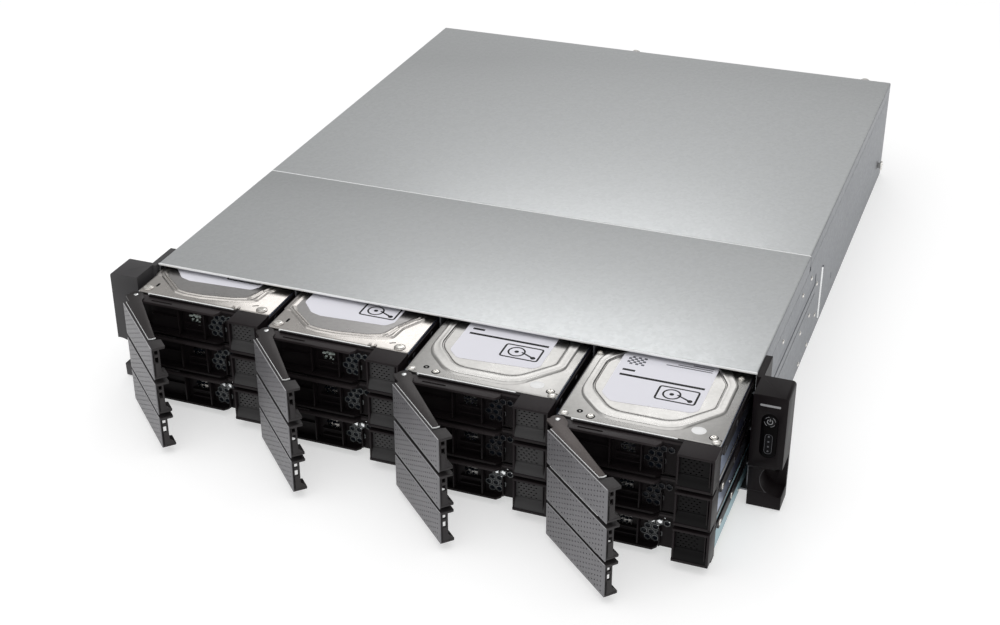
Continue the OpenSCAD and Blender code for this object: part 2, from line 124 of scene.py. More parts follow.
def bump(tree, shader, height, strength, distance):
    made = node(tree, "ShaderNodeBump", Strength=strength, Distance=distance)
    tree.links.new(height, made.inputs["Height"])
    tree.links.new(made.outputs["Normal"], shader.inputs["Normal"])


def plastic(name, color, rough=0.5, grain=2600, strength=0.25, spread=0.25, spec=0.4):
    """Moulded plastic: fine spark-eroded grain, slight handling variation in colour and gloss."""
    mat, tree, shader = new_material(name, color, rough, spec=spec)
    where = coords(tree)
    broad = noise(tree, where, 18, 3)
    fine = noise(tree, where, grain, 2)
    tree.links.new(ramp(tree, broad, *shades(color, spread)), shader.inputs["Base Color"])
    tree.links.new(level(tree, broad, rough - 0.05, rough + 0.06), shader.inputs["Roughness"])
    bump(tree, shader, fine, strength, 0.00008)
    return mat


def sheet_steel(name, color, rough):
    """Galvanised sheet: small crystal patches of slightly different tone over a fine grain."""
    mat, tree, shader = new_material(name, color, rough, 0.85)
    where = coords(tree)
    cells = node(tree, "ShaderNodeTexVoronoi", Scale=420)
    tree.links.new(where, cells.inputs["Vector"])
    fine = noise(tree, where, 1900, 4, 0.7)
    broad = noise(tree, where, 6, 4)
    mix = node(tree, "ShaderNodeMix", data_type="FLOAT", Factor=0.55)
    tree.links.new(cells.outputs["Color"], mix.inputs[2])
    tree.links.new(fine, mix.inputs[3])
    both = node(tree, "ShaderNodeMath", operation="MULTIPLY_ADD")
    both.inputs[1].default_value = 0.7
    tree.links.new(mix.outputs[0], both.inputs[0])
    half = node(tree, "ShaderNodeMath", operation="MULTIPLY")
    half.inputs[1].default_value = 0.3
    tree.links.new(broad, half.inputs[0])
    tree.links.new(half.outputs[0], both.inputs[2])
    tree.links.new(ramp(tree, both.outputs[0], *shades(color, 0.07), 0.25, 0.75), shader.inputs["Base Color"])
    tree.links.new(level(tree, both.outputs[0], rough + 0.05, rough - 0.05), shader.inputs["Roughness"])
    bump(tree, shader, fine, 0.12, 0.00006)
    return mat


def metal(name, color, rough=0.3, grain=(1, 1, 1), scale=900, contrast=0.08, strength=0.08, metallic=1.0):
    """Machined, cast or plated metal; grain stretches the texture along an axis for a brushed look."""
    mat, tree, shader = new_material(name, color, rough, metallic)
    where = coords(tree, grain)
    fine = noise(tree, where, scale, 4, 0.65)
    broad = noise(tree, coords(tree), 25, 3)
    tree.links.new(ramp(tree, fine, *shades(color, contrast)), shader.inputs["Base Color"])
    tree.links.new(level(tree, broad, rough - 0.05, rough + 0.07), shader.inputs["Roughness"])
    bump(tree, shader, fine, strength, 0.00005)
    return mat


def film(name, color, rough=0.5, spread=0.05, spec=0.4):
    """Printed or polished film: plastic with hardly any grain."""
    return plastic(name, color, rough, 900, 0.03, spread, spec)


def lid_steel(name, color, rough, strength=0.025):
    """Pressed lid of a drive, with a fine even grain."""
    return metal(name, color, rough, scale=420, contrast=0.06, strength=strength)


def board(name, color):
    """Circuit board: solder mask over fine tracks."""
    mat, tree, shader = new_material(name, color, 0.35, spec=0.5)
    where = coords(tree)
    tracks = node(tree, "ShaderNodeTexBrick", Scale=260.0)
    tree.links.new(where, tracks.inputs["Vector"])
    low, high = ([c * k for c in color] for k in (0.75, 1.35))
    tracks.inputs["Color1"].default_value = rgb(color)
    tracks.inputs["Color2"].default_value = rgb(high)
    tracks.inputs["Mortar"].default_value = rgb(low)
    tracks.inputs["Mortar Size"].default_value = 0.03
    tree.links.new(tracks.outputs["Color"], shader.inputs["Base Color"])
    bump(tree, shader, tracks.outputs["Fac"], 0.2, 0.00005)
    return mat


BLACK = plastic("tray_black", (0.0086, 0.0066, 0.0072), 0.42, spec=0.11)
# Painted highlight: the hexagonal rims are lighter copies of the tray's black plastic, so they read as lit;
# the brighter, glossier copy goes to the two left columns and the lowest row.
RIM_DIM_HIGHLIGHT = plastic("rim_dim_highlight", (0.028, 0.027, 0.029), 0.25, strength=0.1)
RIM_BRIGHT_HIGHLIGHT = plastic("rim_bright_highlight", (0.085, 0.092, 0.094), 0.14, strength=0.1, spec=0.9)
WELL_BLACK = plastic("well_black", (0.0045, 0.0042, 0.0044), 0.3, strength=0.1, spec=0.08)
# Painted light: a lighter copy of the well's black plastic for the three left columns; the right column keeps
# the darker well plastic.
WELL_PAINTED_LIGHT = plastic("well_painted_light", (0.026, 0.025, 0.0255), 0.4, strength=0.2, spec=0.3)
EAR_BLACK = plastic("ear_black", (0.0062, 0.0042, 0.0049), 0.42, grain=2200, strength=0.3, spec=0.11)
# Painted light: a lighter copy of the ear's black plastic for the left ear and the scoop rims; the right ear
# keeps the darker one.
EAR_PAINTED_LIGHT = plastic("ear_painted_light", (0.05, 0.048, 0.05), 0.5, grain=2200, strength=0.3, spec=0.3)
BAR = plastic("bar_black", (0.024, 0.0195, 0.0205), 0.42, spec=0.2)
BLOCK = plastic("block_black", (0.0105, 0.0078, 0.0086), 0.42, spec=0.16)
DOOR = plastic("door_grey", (0.135, 0.132, 0.14), 0.42, strength=0.2)
# Painted highlight: light grey for the bright line along each door's top edge.
DOOR_EDGE_HIGHLIGHT = plastic("door_edge", (0.5, 0.5, 0.51), 0.35, strength=0.1, spec=0.5)
DOOR_BACK = plastic("door_black", (0.024, 0.0215, 0.0222), 0.45, spec=0.25)
# Painted light and shade: one bronze, with a lighter copy for the right column's levers and a darker copy for
# the other columns.
BRONZE_LIT_AND_SHADED = {light: metal(name, color, 0.4, (1, 6, 1), 500, 0.2, 0.12, metallic=0.55)
          for light, name, color in ((True, "lever_bronze", (0.075, 0.063, 0.06)),
                                     (False, "lever_bronze_painted_shade", (0.028, 0.024, 0.024)))}
GALVANISED = sheet_steel("galvanised", (0.56, 0.575, 0.58), 0.36)
# Painted shade: the same galvanised steel, darker, for the chassis sides, rear panel and cage.
GALVANISED_PAINTED_SHADE = sheet_steel("galvanised_painted_shade", (0.238, 0.248, 0.266), 0.46)
# Painted highlight: a near-white, barely metallic copy of bright metal for the cover hems, the tray strips
# and the lever plates' front edges.
PAINTED_HIGHLIGHT = metal("painted_highlight_hem", (0.92, 0.93, 0.93), 0.4, (1, 1, 1), 700, 0.02, 0.04, metallic=0.15)
# The groove band on the side wall takes the same darker tone: painted shade.
GROOVE_SHADE = sheet_steel("groove_band_shade", (0.24, 0.25, 0.27), 0.5)
# Painted shade: a dark line at the foot of the first lid's ridge.
LID_GROOVE_SHADE = lid_steel("lid_groove", (0.13, 0.125, 0.12), 0.4, 0.02)
LID_A = lid_steel("drive_lid_satin", (0.455, 0.447, 0.433), 0.28)
LID_B = lid_steel("drive_lid_warm", (0.52, 0.495, 0.47), 0.24)
# Painted shade: a darker copy of the second lid's steel for the panel inside its ridges.
LID_B_FIELD_SHADE = lid_steel("drive_lid_field_shade", (0.36, 0.35, 0.345), 0.3, 0.08)
# Painted reflection: a teal copy of the drive's side film for the lowest row.
SIDE_TEAL_REFLECTION = plastic("drive_side_teal_reflection", (0.34, 0.52, 0.58), 0.4, strength=0.1, spread=0.06)
LABEL = film("label_film", (0.75, 0.745, 0.8), spread=0.015, spec=0.2)
LABEL_INK = film("label_ink", (0.006, 0.006, 0.007), spec=0.2)
LABEL_FINE = film("label_fine_rules", (0.09, 0.09, 0.11), spec=0.3)
WHITE_DOT = film("seal_film", (0.8, 0.8, 0.8), 0.35, 0.02)
BRIGHT = metal("bright_steel", (0.85, 0.86, 0.86), 0.2, contrast=0.04, strength=0.04)
MIRROR = metal("polished_facet", (0.92, 0.94, 0.95), 0.05, contrast=0.02, strength=0.01)
# Painted glint: a light greenish grey for the light guides in the top row's two left bays.
GUIDE_PAINTED_GLINT = plastic("light_guide_painted_glint", (0.4, 0.46, 0.43), 0.2, strength=0.1, spec=0.6)
SCREW = metal("screw_zinc", (0.78, 0.76, 0.72), 0.22)
# Painted shade: a dark copy of the zinc screws for the side screws of the upper rows.
SCREW_PAINTED_SHADE = metal("screw_painted_shade", (0.05, 0.05, 0.055), 0.35)
# Painted shade: near-black plates laid where holes, gaps and recesses lie in shade.
PAINTED_SHADE_BLACK = plastic("painted_shade_black", (0.004, 0.004, 0.004), 0.7, spec=0.1)
# Painted shade: dark gloss filling the honeycomb cells and the middle window, where the space behind would be
# in shade.
CELL_PAINTED_SHADE = plastic("cell_painted_shade", (0.005, 0.007, 0.011), 0.13, strength=0.06, spec=0.15)
GLOSS = film("panel_gloss_black", (0.0015, 0.0012, 0.0014), 0.2, 0.15, 0.04)
LENS = film("smoked_lens", (0.003, 0.003, 0.004), 0.2, 0.15, 0.08)
MARK = film("printed_mark", (0.3, 0.3, 0.31), 0.4)
MARK_DIM = film("dim_mark", (0.09, 0.09, 0.1), 0.4)
BUTTON = plastic("button_satin", (0.003, 0.003, 0.0035), 0.3, strength=0.1, spec=0.12)
PCB = board("board_green", (0.02, 0.11, 0.06))
SOCKET = plastic("socket_black", (0.012, 0.012, 0.014), 0.4, spec=0.3)
FAN = plastic("fan_black", (0.02, 0.02, 0.021), 0.38)
ALUMINIUM = metal("extruded_aluminium", (0.7, 0.71, 0.73), 0.3, (1, 1, 8), 400, 0.06, 0.1)
PSU = sheet_steel("psu_case", (0.5, 0.51, 0.52), 0.4)
SHELL = metal("port_shell_tin", (0.68, 0.68, 0.67), 0.28, (1, 1, 1), 700)
HANDLE_RED = plastic("release_tab", (0.35, 0.04, 0.03), 0.4)


def side_film_reflection():
    """Anodised blue film along a drive, with a painted reflection in its colour: pale blue at the front,
    fading to deep indigo towards the back.
    """
    mat, tree, shader = new_material("drive_side_blue_reflection", (0.3, 0.34, 0.45), 0.3, 0.8)
    split = node(tree, "ShaderNodeSeparateXYZ")
    tree.links.new(coords(tree), split.inputs[0])
    # Painted reflection: the colour darkens from the front of the drive towards the back.
    along = level(tree, split.outputs["Y"], 0.0, 1.0, 0.024, 0.07)
    tree.links.new(ramp(tree, along, (0.36, 0.42, 0.55), (0.05, 0.055, 0.1), 0.0, 1.0),
                   shader.inputs["Base Color"])
    bump(tree, shader, noise(tree, coords(tree, (1, 8, 1)), 300, 3), 0.08, 0.00005)
    return mat


SIDE_BLUE_REFLECTION = side_film_reflection()


# ---------- mesh building, in millimetres ----------

AXES = {"x": (1, 2, 0), "y": (0, 2, 1), "z": (0, 1, 2)}


def ccw(outline):
    """The outline as vectors, running counter-clockwise."""
    pts = [Vector(p) for p in outline]
    area = sum(a.x * b.y - b.x * a.y for a, b in zip(pts, pts[1:] + pts[:1]))
    return pts if area > 0 else pts[::-1]


def inset(outline, distance):
    """The outline moved inwards by a distance, corners mitred."""
    out = []
    for i, p in enumerate(outline):
        a = (p - outline[i - 1]).normalized()
        b = (outline[(i + 1) % len(outline)] - p).normalized()
        na, nb = Vector((-a.y, a.x)), Vector((-b.y, b.x))
        out.append(p + (na + nb) * (distance / max(1 + na.dot(nb), 0.35)))
    return out


def rounded(points, radii, steps=4):
    """A polygon with its corners rounded; radii is one number or one for each corner."""
    pts = ccw(points)
    if isinstance(radii, (int, float)):
        radii = [radii] * len(pts)
    out = []
    for i, (p, r) in enumerate(zip(pts, radii)):
        a, b = (pts[i - 1] - p), (pts[(i + 1) % len(pts)] - p)
        if r <= 0:
            out.append(p)
            continue
        half = a.angle(b) / 2
        reach = min(r / math.tan(half), a.length * 0.49, b.length * 0.49)
        start, end = p + a.normalized() * reach, p + b.normalized() * reach
        for k in range(steps + 1):
            t = k / steps
            out.append(start * (1 - t) ** 2 + p * (2 * t * (1 - t)) + end * t ** 2)
    return out


def rect(x0, y0, x1, y1, r=0.0, steps=3):
    return rounded([(x0, y0), (x1, y0), (x1, y1), (x0, y1)], r, steps)


def circle(x, y, r, n=24, turn=0.0):
    return [Vector((x + r * math.cos(2 * math.pi * k / n + turn),
                    y + r * math.sin(2 * math.pi * k / n + turn))) for k in range(n)]


def slot(x, y, width, height, steps=3):
    """Flat outline with round ends."""
    return rect(x - width / 2, y - height / 2, x + width / 2, y + height / 2,
                min(width, height) * 0.49, steps)


def star(x, y, r):
    """Outline of a six-pointed screw recess."""
    tips, dips = circle(x, y, r, 12), circle(x, y, r * 0.62, 12)
    return [tips[k] if k % 2 else dips[k] for k in range(12)]


class Build:
    """Closed shapes gathered in one mesh."""

    def __init__(self):
        self.points, self.faces = [], []

    def _tube(self, loops, axis):
        """Walls between loops of (a, b), each at its height; returns the index of each loop's first point."""
        starts, count = [], len(loops[0][0])
        for loop, height in loops:
            starts.append(len(self.points))
            for a, b in loop:
                self.points.append({"x": (height, a, b), "y": (a, height, b), "z": (a, b, height)}[axis])
        for one, two in zip(starts, starts[1:]):
            for k in range(count):
                j = (k + 1) % count
                self.faces.append((one + k, one + j, two + j, two + k))
        return starts

    def _cap(self, loops, starts):
        """Triangles over the first loop, leaving out the others."""
        if len(loops) == 1:
            self.faces.append(tuple(range(starts[0], starts[0] + len(loops[0]))))
            return
        flat, index, edges = [], [], []
        for loop, start in zip(loops, starts):
            base = len(flat)
            flat += [Vector(p) for p in loop]
            index += range(start, start + len(loop))
            edges += [(base + k, base + (k + 1) % len(loop)) for k in range(len(loop))]
        _, _, faces, origin, _, _ = delaunay_2d_cdt(flat, edges, [], 0, 1e-6)
        spots = np.array([[sum(flat[origin[v][0]][i] for v in f) / 3 for i in (0, 1)] for f in faces])
        a = np.array([flat[i] for i, _ in edges])
        b = np.array([flat[j] for _, j in edges])
        x, y = spots.T[..., None]
        crosses = (a[:, 1] > y) != (b[:, 1] > y)
        slope = np.where(np.abs(b[:, 1] - a[:, 1]) < 1e-12, 1e-12, b[:, 1] - a[:, 1])
        at = a[:, 0] + (y - a[:, 1]) * (b[:, 0] - a[:, 0]) / slope
        inside = (crosses & (x < at)).sum(1) % 2 == 1
        for f, keep in zip(faces, inside):
            if keep:
                self.faces.append(tuple(index[origin[v][0]] for v in f))

    def plate(self, outer, low, high, axis="z", holes=(), soft_low=0.0, soft_high=0.0, steps=2):
        """An outline pulled along an axis, with holes right through and rounded outer edges."""
        outer = ccw(outer)
        rings = []
        for k in range(steps + 1 if soft_low else 1):
            t = math.pi / 2 * k / steps
            rings.append((soft_low * (1 - math.sin(t)), low + soft_low * (1 - math.cos(t))))
        if soft_high:
            for k in range(steps + 1):
                t = math.pi / 2 * (1 - k / steps)
                rings.append((soft_high * (1 - math.sin(t)), high - soft_high * (1 - math.cos(t))))
        else:
            rings.append((0, high))
        loops = [(inset(outer, d) if d > 1e-6 else outer, h) for d, h in rings]
        starts = self._tube(loops, axis)
        ends = [self._tube([(hole, low), (hole, high)], axis) for hole in holes]
        for k in (0, -1):
            self._cap([loops[k][0], *holes], [starts[k], *(end[k] for end in ends)])
        return self

    def box(self, low, high, soft=0.0):
        return self.plate(rect(low[0], low[1], high[0], high[1], soft, 2), low[2], high[2],
                          soft_low=soft, soft_high=soft)

    def loft(self, loops, axis="z"):
        """Loops of equal length at their heights, closed at both ends."""
        starts = self._tube(loops, axis)
        for k in (0, -1):
            self._cap([loops[k][0]], [starts[k]])
        return self

    def turned(self, profile, centre, axis="z", n=28):
        """A turned shape from (radius, height) pairs, heights along the axis."""
        a, b, c = AXES[axis]
        loops = [(circle(centre[a], centre[b], max(r, 0.001), n), centre[c] + h) for r, h in profile]
        return self.loft(loops, axis)

    def screw(self, centre, axis, r, height, out=1):
        """A low screw head with a star recess, its top facing along the axis."""
        a, b, c = AXES[axis]
        x, y, h = centre[a], centre[b], centre[c]
        low, high = sorted((h, h + out * height))
        soft = {"soft_high" if out > 0 else "soft_low": height * 0.45}
        self.plate(circle(x, y, r, 20), low, high, axis, [star(x, y, r * 0.55)], **soft)
        return self.plate(circle(x, y, r * 0.6, 12), *sorted((h, h + out * height * 0.3)), axis)

    def mesh(self, name, material):
        data = bpy.data.meshes.new(name)
        data.from_pydata([Vector(p) * MM for p in self.points], [], self.faces)
        work = bmesh.new()
        work.from_mesh(data)
        return finished(work, data, material)


def finished(work, data, material):
    """Puts the worked mesh in the data, smooth but for its sharp edges, with one material."""
    bmesh.ops.recalc_face_normals(work, faces=work.faces)
    work.to_mesh(data)
    work.free()
    data.materials.append(material)
    for polygon in data.polygons:
        polygon.use_smooth = True
    data.set_sharp_from_angle(angle=math.radians(38))
    return data


def place(name, data, body, matrix, replaces=()):
    """One object with the mesh, riding on the body."""
    obj = bpy.data.objects.new(name, data)
    bpy.context.scene.collection.objects.link(obj)
    if matrix is not None:
        obj.matrix_world = matrix
    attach(obj, body)
    if replaces:
        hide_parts(*replaces)
    return obj


def softened(node_name, material, body, width):
    """A copy of a CAD node with its sharp edges rounded, standing in for it."""
    work = bmesh.new()
    work.from_mesh(NODES[node_name].data)
    bmesh.ops.remove_doubles(work, verts=work.verts, dist=2e-6)
    bmesh.ops.dissolve_limit(work, angle_limit=math.radians(1.5), verts=work.verts, edges=work.edges)
    sharp = [e for e in work.edges if len(e.link_faces) == 2 and e.calc_face_angle(0) > math.radians(32)]
    bmesh.ops.bevel(work, geom=sharp, offset=width * MM, segments=2, profile=0.5,
                    affect="EDGES", clamp_overlap=True)
    data = finished(work, bpy.data.meshes.new(node_name + "_soft"), material)
    return place(node_name + "_finished", data, body, None, (node_name,))


# ---------- drive trays, in the tray's own frame ----------

PIN_X, PIN_Y = 5.3, 12.7
SCREW_Z, SCREW_YS = 19.5, (25.5, 55.5, 136.5)
RAIL_X0, RAIL_X1, RAIL_T = 1.8, 106.2, 1.2
RAIL_Z0, RAIL_Z1, RAIL_END = 15.4, 23.6, 164
POCKET_X, WALL_Y0, WALL_Y1 = 14, 15, 16.5
LUG_YS, LUG_L = (20, 78, 142), 12
HEX_R = 1.95
HEX_ROWS = [(18.0, (66.6, 71.4, 76.2)), (13.85, (64.2, 69.0)), (9.7, (61.8, 66.6, 71.4)), (5.5, (64.2, 69.0))]


def cells():
    """Outlines of the hexagonal vent cells."""
    return [circle(x, z, HEX_R, 6, math.pi / 6) for z, xs in HEX_ROWS for x in xs]


def pin_hole():
    return circle(PIN_X, PIN_Y, 1.6, 16)


def tray_shell():
    """Moulded body of the tray: pocket behind the door, then a rail along each side of the drive."""
    b = Build()
    guide_window = rect(45, 8.4, 54, 17.2, 0.8, 2)
    b.plate(rect(POCKET_X, 0, 84, 25.4), WALL_Y0, WALL_Y1, "y", cells() + [guide_window])
    for corner in ((RAIL_X0, 16.6, 0), (POCKET_X, WALL_Y0, 0)):
        b.box(corner, (14.8, 17.8, 24), 0.2)
    bottom = [(RAIL_X0, 9), (68.5, 9), (71, 12.2), (71, 15.5), (POCKET_X, 15.5), (POCKET_X, 17.6),
              (RAIL_X0, 17.6)]
    b.plate(bottom, 0, 1.6, "z", [pin_hole()], soft_low=0.3)
    for x in (38.6, 58.4):
        b.box((x, 9.5, 1), (x + 1, 15.5, 22.9), 0.2)
    b.box((71.6, 12, 1.5), (72.6, 15.4, 15.2), 0.2)
    for z in (5.4, 10.4):
        b.box((42.5, 12.6, z), (57.5, 15.5, z + 0.7), 0.15)
    b.box((16, 13.4, 12), (38, 15.5, 12.7), 0.15)
    for y in LUG_YS:
        b.box((RAIL_X0, y, 15.2), (RAIL_X0 + 0.8, y + LUG_L, 16.0), 0.15)
        if y > LUG_YS[0]:
            b.box((RAIL_X1 - 0.8, y, 15.2), (RAIL_X1, y + LUG_L, 16.0), 0.15)
    holes = [circle(y, SCREW_Z, 1.8, 16) for y in SCREW_YS]
    relief = [rect(y, 17.6, y + 22, 21.4, 1.2, 2) for y in (70, 100)]
    left = rect(16.6, RAIL_Z0, RAIL_END, RAIL_Z1, 0.8, 3)
    right = rounded([(14.2, 20.4), (20.6, 20.4), (23.6, RAIL_Z0), (RAIL_END, RAIL_Z0), (RAIL_END, RAIL_Z1),
                     (14.2, RAIL_Z1)], [0.4, 1.5, 2.5, 0.8, 0.8, 0.4], 3)
    for x, outline in ((RAIL_X0, left), (RAIL_X1 - RAIL_T, right)):
        b.plate(outline, x, x + RAIL_T, "x", holes + relief, soft_low=0.2, soft_high=0.2)
    return b


def tray_bar():
    """Slotted bar along the top of the pocket."""
    top = [(RAIL_X0, 8), (68.3, 8), (70.6, 11), (70.6, 14.8), (83.5, 14.8), (83.5, 15.5),
           (POCKET_X, 15.5), (POCKET_X, 17.6), (RAIL_X0, 17.6)]
    grip_slot = rect(18.3, 10.2, 34.4, 11.8, 0.5, 2)
    return Build().plate(top, 22.4, 24, "z", [grip_slot, pin_hole()], soft_high=0.15)


def cell_rims():
    """Raised hexagonal rims standing out from the pocket's back wall."""
    b = Build()
    for hole in cells():
        b.plate(inset(ccw(hole), -0.42), 14.2, 15.05, "y", [hole], soft_low=0.12)
    return b


def cell_floors(bright):
    """Facets filling the honeycomb: polished in the top row of cells; in the rest, dark plates stand for
    painted shade.
    """
    b = Build()
    for k, (z, xs) in enumerate(HEX_ROWS):
        for x in xs:
            if (k == 0) == bright and x < 76:
                tilt = 0.55 if bright else 0.0
                b.plate([(15.2, z - HEX_R), (15.2 + tilt, z + HEX_R), (16.2, z + HEX_R), (16.2, z - HEX_R)],
                        x - HEX_R, x + HEX_R, "x")
    if bright:
        for x, z in ((66.6, 18), (71.4, 18), (76.2, 18), (69, 13.85), (73.2, 20.4)):
            b.box((x + 1.0, 14.15, z + 1.3), (x + 1.9, 14.5, z + 1.75), 0.1)
    else:
        last_z, last_x = HEX_ROWS[0][0], HEX_ROWS[0][1][-1]
        b.plate(circle(last_x, last_z, HEX_R + 0.1, 6, math.pi / 6), 15.35, 15.8, "y")
    return b


def indicator_guide():
    """Clear light guide behind the middle window: small tilted facets."""
    b = Build()
    for x0, z0, w, h in ((44.8, 14.9, 2.6, 0.9), (47.6, 15.6, 1.5, 0.8), (49.4, 14.8, 2.0, 1.3),
                         (51.8, 15.2, 2.2, 0.8), (46.6, 12.6, 1.6, 0.7), (50.2, 12.2, 1.1, 1.0),
                         (46.2, 9.2, 1.1, 2.0), (51.6, 9.0, 1.2, 2.6), (49.0, 10.2, 0.8, 0.9)):
        b.plate([(14.6, z0), (15.3, z0 + h), (15.9, z0 + h), (15.9, z0)], x0, x0 + w, "x")
    return b


def finger_block():
    """Block at the right of the tray with a well for a fingertip behind a perforated plate."""
    b = Build()
    x0, x1, back = 83.0, 106.0, 16.5
    b.plate([(x0, 0.1), (x1, 0.1), (x1, back), (x0, back)], 24.6, 26.2, soft_low=0.1, soft_high=0.4)
    b.box((x1 - 1.6, 0, 2), (x1, back, 25.9), 0.4)
    b.box((102.9, 0.7, 3.6), (103.6, 6, 25), 0.2)
    b.box((x0, 0.5, 2.6), (84.3, back, 25.6), 0.3)
    b.plate(rounded([(82.8, 0), (x1, 0), (x1, 9), (82.8, 9), (82.8, 2.6)], [0.8, 0.5, 0.2, 0.2, 1.5], 3),
            2, 3.9, soft_low=0.3, soft_high=0.3)
    b.box((82.9, 9, 0), (x1, back, 2.5), 0.3)
    return b


def finger_well():
    """Inside of the well: curved floor, perforated back plate and the arc of the fingertip."""
    b = Build()
    curve = [(4.6 - 4.1 * math.sin(t), 11.58 - 7.7 * (1 - math.cos(t)))
             for t in np.linspace(0, math.pi / 2, 9)]
    b.plate([(16.4, 24.8), (5.2, 24.8), (5.2, 12.2), *curve, (0.5, 3.4), (16.4, 3.4)], 84.2, 104.5, "x")
    holes = [slot(86.2 + 3.35 * col + (row % 2) * 1.6, 21.7 - 1.9 * row, 1.4, 0.65, 2)
             for row in range(6) for col in range(4)]
    b.plate(rect(84.2, 10.6, 102.6, 24.7), 3.6, 4.3, "y", holes)
    outer, inner = ([Vector((98.2 + wide * math.sin(t), 3.9 + tall * math.cos(t)))
                     for t in np.linspace(0, 1.5, 10)] for wide, tall in ((5, 4.6), (4.6, 4.2)))
    b.plate(outer + inner[::-1], 1.4, 4.4, "y")
    return b


DOOR_X0, DOOR_X1, DOOR_Z0, DOOR_Z1 = 12.0, 82.5, 2.4, 26.0
WALL_TOP = 24.6
SKIN_BACK = 2.35


def door_panel():
    """Perforated front skin of the door, drilled in a staggered grid."""
    b = Build()
    holes = []
    for col in range(20):
        for row in range(7):
            x, z = DOOR_X0 + 2.7 + 3.35 * col, DOOR_Z1 - 1.9 - 3.5 * row - (col % 2) * 1.75
            if z > DOOR_Z0 + 1.2 and not (col > 18 and row > 5):
                holes.append(slot(x, z, 1.25, 1.1, 2))
    b.plate(rect(DOOR_X0, DOOR_Z0, DOOR_X1, DOOR_Z1, 0.3, 2), 1.8, 2.3, "y", holes, soft_low=0.12)
    return b


def door_edge():
    """Painted highlight: a bright line along the top of the front skin."""
    return Build().box((DOOR_X0 + 0.3, 1.74, DOOR_Z1 - 0.2), (DOOR_X1 - 0.3, 2.0, DOOR_Z1 + 0.02), 0.08)


def door_back():
    """Walls, ribs and end block behind the door's front skin."""
    b = Build()
    x0, x1, z0, z1 = DOOR_X0, DOOR_X1, DOOR_Z0 - 0.9, WALL_TOP
    b.box((x0 + 0.2, 2.6, z0 + 0.4), (x1 - 0.1, 3.8, z1 - 0.12), 0.1)
    wall = rect(x0, SKIN_BACK, 72, 6.3)
    b.plate(wall, z1 - 1, z1, soft_high=0.15)
    b.plate(wall, z0, z0 + 1, soft_low=0.15)
    for x in (22, 34, 46, 58, 69):
        b.box((x, 3.7, z0 + 0.8), (x + 0.9, 5.6, z1 - 0.8), 0.15)
    lip = [(70.4, SKIN_BACK), (x1, SKIN_BACK), (x1, 10.9), (x1 - 0.5, 11.4), (72.2, 11.4), (70.6, 5.4)]
    for low in (z1 - 1.6, z0):
        b.plate(lip, low, low + 1.6, soft_low=0.15, soft_high=0.15)
    windows = [rect(3.3, 13.2, 6.1, 17.6, 0.3, 2), rect(3.3, 19.6, 6.1, 22.6, 0.3, 2)]
    b.plate(rect(SKIN_BACK, z0 + 0.8, 7.3, z1 - 0.8, 0.2, 2), 80.9, 82.4, "x", windows, soft_high=0.15)
    b.plate([(7, z0 + 0.8), (10.8, z0 + 0.8), (10.8, z0 + 1.8), (7.6, z0 + 5), (7, z0 + 5)], 81.1, 82.3, "x")
    b.plate(rect(2.9, z0 + 0.8, 5.0, z1 - 0.8), 71.2, 72.2, "x")
    b.plate(circle(PIN_X, PIN_Y, 3.4, 24), z0 + 0.9, z0 + 2.3, "z", [circle(PIN_X, PIN_Y, 1.56, 16)])
    b.plate([(6.6, 9.9), (8.0, 14.2), (24, 6), (24, 2.9), (12.1, 2.9)], z0 + 0.95, z0 + 2.25,
            soft_low=0.2, soft_high=0.2)
    return b


def lever_plate():
    """Flat metal lever: round eye, catch nose and tapered arm along the back of the door."""
    eye = [(5 * math.cos(t), 5 * math.sin(t)) for t in np.radians(np.linspace(224.3, 62.5, 16))]
    outline = [(-1.9, -6.6), (-4.2, -5), *eye, (5.8, 4), (9.6, 1.4), (63.7, -4.3), (64.3, -6.6),
               (64, -8.8), (6.8, -8.8), (6.2, -6.6)]
    return Build().plate([(PIN_X + x, PIN_Y + y) for x, y in outline], 24.2, 25.15, soft_high=0.18)


def plate_edge():
    """Painted highlight: a bright line along the front edge of the lever plate."""
    b = Build().box((12.4, 3.75, 24.35), (69.6, 3.98, 25.2), 0.08)
    tip = [(69.5, 3.9), (70.4, 5.9), (69.9, 8.6), (69.6, 8.5), (70.0, 5.9), (69.3, 4.1)]
    return b.plate(tip, 24.4, 25.18)


def lever_pin():
    profile = [(1.45, 0.4), (1.45, 25.0), (1.6, 25.1), (1.6, 25.5), (1.3, 25.7), (0.1, 25.72)]
    return Build().turned(profile, (PIN_X, PIN_Y, 0))


# ---------- hard drives, in the tray's own frame ----------

DX0, DX1, DY0, DY1, DZ0 = 3.2, 104.8, 18.2, 165.2, 0.3
LID_Z = 25.2
CORNERS_A = ((6.6, 21.2), (101.4, 21.2), (6.6, 162), (101.4, 162))
CORNERS_B = ((7.9, 24.2), (97.2, 23.2), (9, 159), (99, 159))
OUTER_A = ([(7.6, 46), (29, 23.4), (75.5, 23.4), (99.4, 53.5), (99.4, 88), (90, 106), (90, 142), (76, 156),
            (32, 156), (18, 142), (18, 112), (7.6, 92)], [24, 22, 22, 9, 12, 8, 8, 8, 8, 8, 8, 18])
INNER_A = ([(13.3, 55), (32, 33.4), (72.5, 33.4), (92.2, 57), (92.2, 86), (82, 104), (82, 136), (70, 147),
            (38, 147), (26, 136), (26, 110), (13.3, 88)], [20, 18, 18, 6, 10, 8, 8, 8, 8, 8, 8, 14])
PROFILE_A = [(-0.04, -0.25), (0.0, 0.0), (0.07, 0.85), (0.14, 1.1), (0.3, 1.12), (0.52, 0.95), (0.7, 1.1),
             (0.88, 1.15), (0.93, 1.0), (0.98, 0.15), (1.02, 0.06), (1.3, 0.06)]
